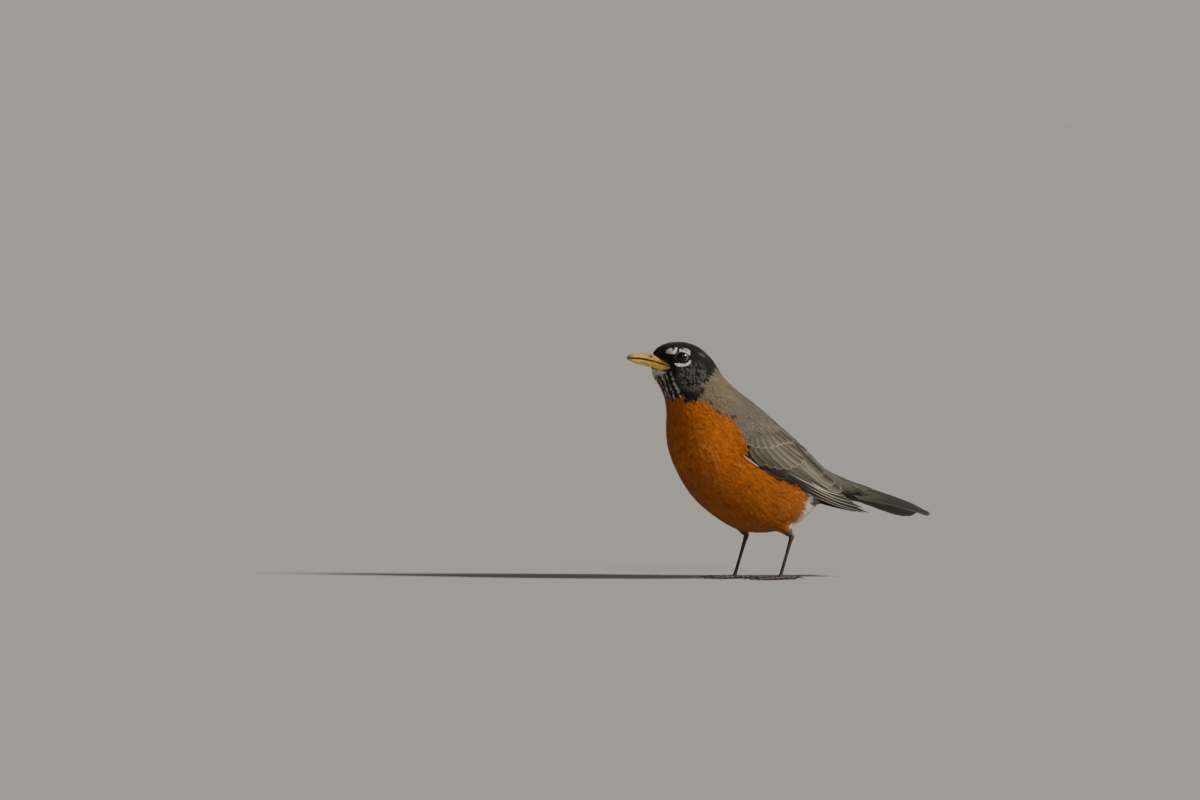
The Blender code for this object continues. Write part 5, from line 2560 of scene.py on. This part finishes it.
@dataclass
class Leg:
    """A scaled shank and foot, running up into the feathered thigh, with its claws.

    Args:
        side: Which leg.
        heel: The heel's place outward and up.
        shank: From the heel to the foot's middle.
        rise: From the heel up into the thigh, as a unit vector.
        stem: Shares of the shank, with the radius at each.
        toes: The toes, by the name that their nodes bear.
        knuckles: Shares of a toe's length, with the radius at each.
        rest: Height of the toes' middle line.
    """

    side: Side
    heel: Point = (14.5, 31.5)
    shank: Triple = (-9.5, 0.5, -31.5)
    rise: Triple = (-0.61, -0.08, 0.79)
    stem: Line = ((0.0, 2.0), (0.05, 1.95), (0.12, 1.45), (0.5, 1.15), (0.85, 1.25), (0.96, 1.75))
    toes: dict[str, Toe] = field(
        default_factory=lambda: {
            "inner": Toe(1.7, -2.6, -24.0, 13.0, 5.0),
            "middle": Toe(2.1, 0.0, 0.0, 19.5, 5.6),
            "outer": Toe(1.7, 2.6, 24.0, 14.0, 5.0),
            "hind": Toe(2.4, 0.0, 180.0, 10.2, 6.8),
        }
    )
    knuckles: Line = (
        (0.0, 1.3), (0.17, 1.0), (0.34, 1.25), (0.52, 0.95), (0.68, 1.18), (0.85, 0.9), (0.98, 1.05),
        (1.04, 0.8),
    )
    rest: float = 1.3

    def nodes(self) -> list[str]:
        """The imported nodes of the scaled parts."""
        return [f"shank_{self.side.word}", *(f"toe_{self.side.word}_{toe}" for toe in self.toes)]

    def claws(self) -> list[str]:
        """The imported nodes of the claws."""
        return [f"claw_{self.side.word}_{toe}" for toe in self.toes]

    def foot(self) -> tuple[Array, Array]:
        """The heel's and the foot's places."""
        heel = np.array((HEELS[self.side], self.side.value * self.heel[0], self.heel[1]))
        return heel, heel + np.array(self.shank) * (1.0, self.side.value, 1.0)

    def toe(self, toe: Toe) -> tuple[Array, Array]:
        """Where a toe starts, and which way it points.

        Args:
            toe: The toe.

        Returns:
            Its start and its direction.
        """
        turn = math.radians(toe.angle) * self.side.value
        forward = np.array((-math.cos(turn), math.sin(turn), 0.0))
        start = self.foot()[1] + forward * toe.ahead / max(abs(math.cos(turn)), 0.5)
        start[1] = self.foot()[1][1] + self.side.value * toe.beside
        return start + np.array((0.0, 0.0, self.rest)), forward

    def limbs(self) -> BMesh:
        """The shank and toes as tubes.

        Returns:
            Their shape.
        """
        bm = bmesh.new()
        heel, foot = self.foot()
        rise = np.array(self.rise) * (1.0, self.side.value, 1.0)
        shares, radii = zip(*self.stem)
        path = [heel + rise * 8.0, heel + rise * 3.0, *(heel + (foot - heel) * share for share in shares)]
        tube(bm, np.array(path), (1.3, 1.6, *radii))
        hub = foot + np.array((0.0, 0.0, 1.5))
        shares, radii = zip(*self.knuckles)
        for toe in self.toes.values():
            start, forward = self.toe(toe)
            path = [hub, *(start + forward * toe.length * share for share in shares)]
            tube(bm, np.array(path), (1.35, *radii))
        return bm

    def hooks(self) -> BMesh:
        """The claws as bent, tapering tubes.

        Returns:
            Their shape.
        """
        bm = bmesh.new()
        t = np.linspace(0, 1, 10)[:, None]
        for toe in self.toes.values():
            start, forward = self.toe(toe)
            root = start + forward * (toe.length - 0.6)
            crest = root + forward * toe.claw * 0.6 + np.array((0.0, 0.0, 1.3))
            tip = start + forward * (toe.length + toe.claw)
            tip[2] = 0.25
            path = root * (1 - t) ** 2 + crest * 2 * t * (1 - t) + tip * t**2
            tube(bm, path, 0.80 * (1 - t[:, 0]) ** 0.8 + 0.10)
        return bm

    def build(self, scaled: ScaleFinish, horn: HornFinish) -> list[Piece]:
        """Makes the leg and its claws.

        Args:
            scaled: The leg's finish.
            horn: The claws' finish.

        Returns:
            The leg and the claws.
        """
        leg = painted(f"leg_{self.side.word}", self.limbs(), Tone.CLAW_TIP.over, scaled.make())
        shade_smooth(healed(leg, 0.3, 3).data)
        return [leg, painted(f"claws_{self.side.word}", self.hooks(), Tone.CLAW.over, horn.make())]


# --- studio


@dataclass
class Studio:
    """The pale floor, the soft lights and the camera.

    Args:
        floor_radius: The floor's radius in metres.
        azimuth: The camera's bearing from the bird's side, in degrees.
        elevation: Its height in degrees.
        distance: How far it stands, in metres.
        lens: Its focal length in millimetres.
        beside: How far right of the aim the bird's origin stands, in metres.
        below: How far under the aim it stands.
        horizon: The backdrop's brightness.
        zenith: The brightness overhead.
        front: The share of that brightness on the camera's side.
        bright: The direction where the backdrop is brightest.
    """

    floor_radius: float = 60.0
    azimuth: float = -17.0
    elevation: float = 1.5
    distance: float = 9.6
    lens: float = 400.0
    beside: float = 0.1289
    below: float = 0.1289
    horizon: float = 0.405
    zenith: float = 0.12
    front: float = 0.25
    bright: Triple = (0.45, 0.893, 0.0)

    def floor(self) -> None:
        """A large pale disc."""
        bm = bmesh.new()
        bmesh.ops.create_circle(bm, cap_ends=True, segments=128, radius=self.floor_radius)
        mesh = bpy.data.meshes.new("floor")
        bm.to_mesh(mesh)
        bm.free()
        mesh.materials.append(PaintFinish("floor_paint", 1.0).make())
        placed("floor", mesh)

    def sun(self, name: str, toward: Triple, strength: float, spread: float, colour: Triple) -> None:
        """Adds a far, soft lamp.

        Args:
            name: Its name.
            toward: The direction it stands in.
            strength: Its strength.
            spread: How wide it looks, in degrees.
            colour: Its colour.
        """
        data = bpy.data.lights.new(name, "SUN")
        data.energy, data.angle, data.color = strength, math.radians(spread), colour
        made = placed(name, data)
        made.rotation_mode = "QUATERNION"
        made.rotation_quaternion = Vector(toward).to_track_quat("Z", "Y")

    def sky(self) -> None:
        """Sets up a soft backdrop, brightest beside the bird and near the horizon."""
        world = bpy.data.worlds.new("studio")
        world.use_nodes = True
        wiring = Wiring(world.node_tree)
        toward = wiring.add("TexCoord").outputs["Generated"]
        height = wiring.add("SeparateXYZ", {"Vector": toward}).outputs["Z"]
        product = wiring.add("VectorMath", {0: toward, 1: self.bright}, operation="DOT_PRODUCT")
        soft = {"interpolation_type": "SMOOTHSTEP"}
        rise = wiring.scaled(height, (0.10, 0.75), (self.horizon, self.zenith), **soft)
        side = wiring.scaled(product.outputs["Value"], (-0.1, 0.85), (self.front, 1.0), **soft)
        strength = wiring.sum("MULTIPLY", rise, side)
        backdrop = world.node_tree.nodes["Background"]
        wiring.feed(backdrop, {"Strength": strength, "Color": (1.0, 0.946, 0.870, 1.0)})
        bpy.context.scene.world = world

    def camera(self) -> None:
        """Sets up the camera."""
        azimuth, elevation = math.radians(self.azimuth), math.radians(self.elevation)
        flat = math.cos(elevation)
        back = Vector((math.sin(azimuth) * flat, -math.cos(azimuth) * flat, math.sin(elevation)))
        right = Vector((math.cos(azimuth), math.sin(azimuth), 0.0))
        aim = Vector((-ORIGIN_X * MM, 0, 0)) - right * self.beside + back.cross(right) * self.below
        data = bpy.data.cameras.new("camera")
        data.lens, data.sensor_width, data.clip_start, data.clip_end = self.lens, 36.0, 0.1, 200.0
        camera = placed("camera", data)
        camera.location = aim + back * self.distance
        camera.rotation_mode = "QUATERNION"
        camera.rotation_quaternion = back.to_track_quat("Z", "Y")
        bpy.context.scene.camera = camera

    def build(self) -> None:
        """Sets up the floor, sky, lamps and camera."""
        self.floor()
        self.sky()
        self.sun("key", (0.64, -0.58, 0.50), 3.7, 8.0, (1.0, 0.94, 0.84))
        self.sun("fill", (-0.08, -0.93, 0.43), 0.35, 7.0, (0.96, 0.98, 1.0))
        self.camera()


def handed_in(pieces: Iterable[Piece], slot: str, nodes: Iterable[str] = ()) -> None:
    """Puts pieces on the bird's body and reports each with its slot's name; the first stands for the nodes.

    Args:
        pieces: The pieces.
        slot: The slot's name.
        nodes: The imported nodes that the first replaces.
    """
    for number, piece in enumerate(pieces):
        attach(piece, ROOT)
        if number == 0 and nodes:
            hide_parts(*nodes)
        LOG.info("%s: %s, %d faces", piece.name, slot, len(piece.data.polygons))


def vanes(name: str) -> FeatherFinish:
    """The finish of the large, smooth feathers."""
    return FeatherFinish(name, roughness=0.6, relief=0.02, sheen=0.05, gloss=0.35, ribs=2.0, contrast=0.10)


def main() -> None:
    """Builds the bird and its studio."""
    logging.basicConfig(level=logging.INFO, format="%(name)s: %(message)s")
    plumage = Plumage()
    made = plumage.build(FeatherFinish("contour_feathers"))
    handed_in([made.pop("skin")], "breast", plumage.flesh)
    slots = {"head": "hood", "neck": "back", "breast": "breast", "belly": "breast", "rear": "back"}
    for name, slot in slots.items():
        handed_in([made[f"plumage_{name}_{side.word}"] for side in Side], slot)
    for side in Side:
        wing = Wing(side)
        handed_in(wing.build(vanes("flight_feathers"), plumage.hull), "flight", [wing.name])
        eye = Eye(side)
        handed_in([eye.ball(EyeFinish("eye_wet").make())], "eye", [f"eye_{side.word}"])
        handed_in([eye.lids(HornFinish("lid_skin", 0.6, amount=0.02).make())], "eye")
        leg = Leg(side)
        pieces = leg.build(ScaleFinish("leg_scales"), HornFinish("claw_horn", 0.35, amount=0.05, flesh=0.0))
        handed_in(pieces[:1], "leg", leg.nodes())
        handed_in(pieces[1:], "claw", leg.claws())
    handed_in([Tail().build(vanes("tail_feathers"))], "tail", ["tail"])
    bill = Bill().build(HornFinish("bill_horn", amount=0.12, size=0.55))
    handed_in(bill[:1], "bill", ["bill_upper"])
    handed_in(bill[1:], "bill", ["bill_lower"])
    Studio().build()


if __name__ == "__main__":
    main()
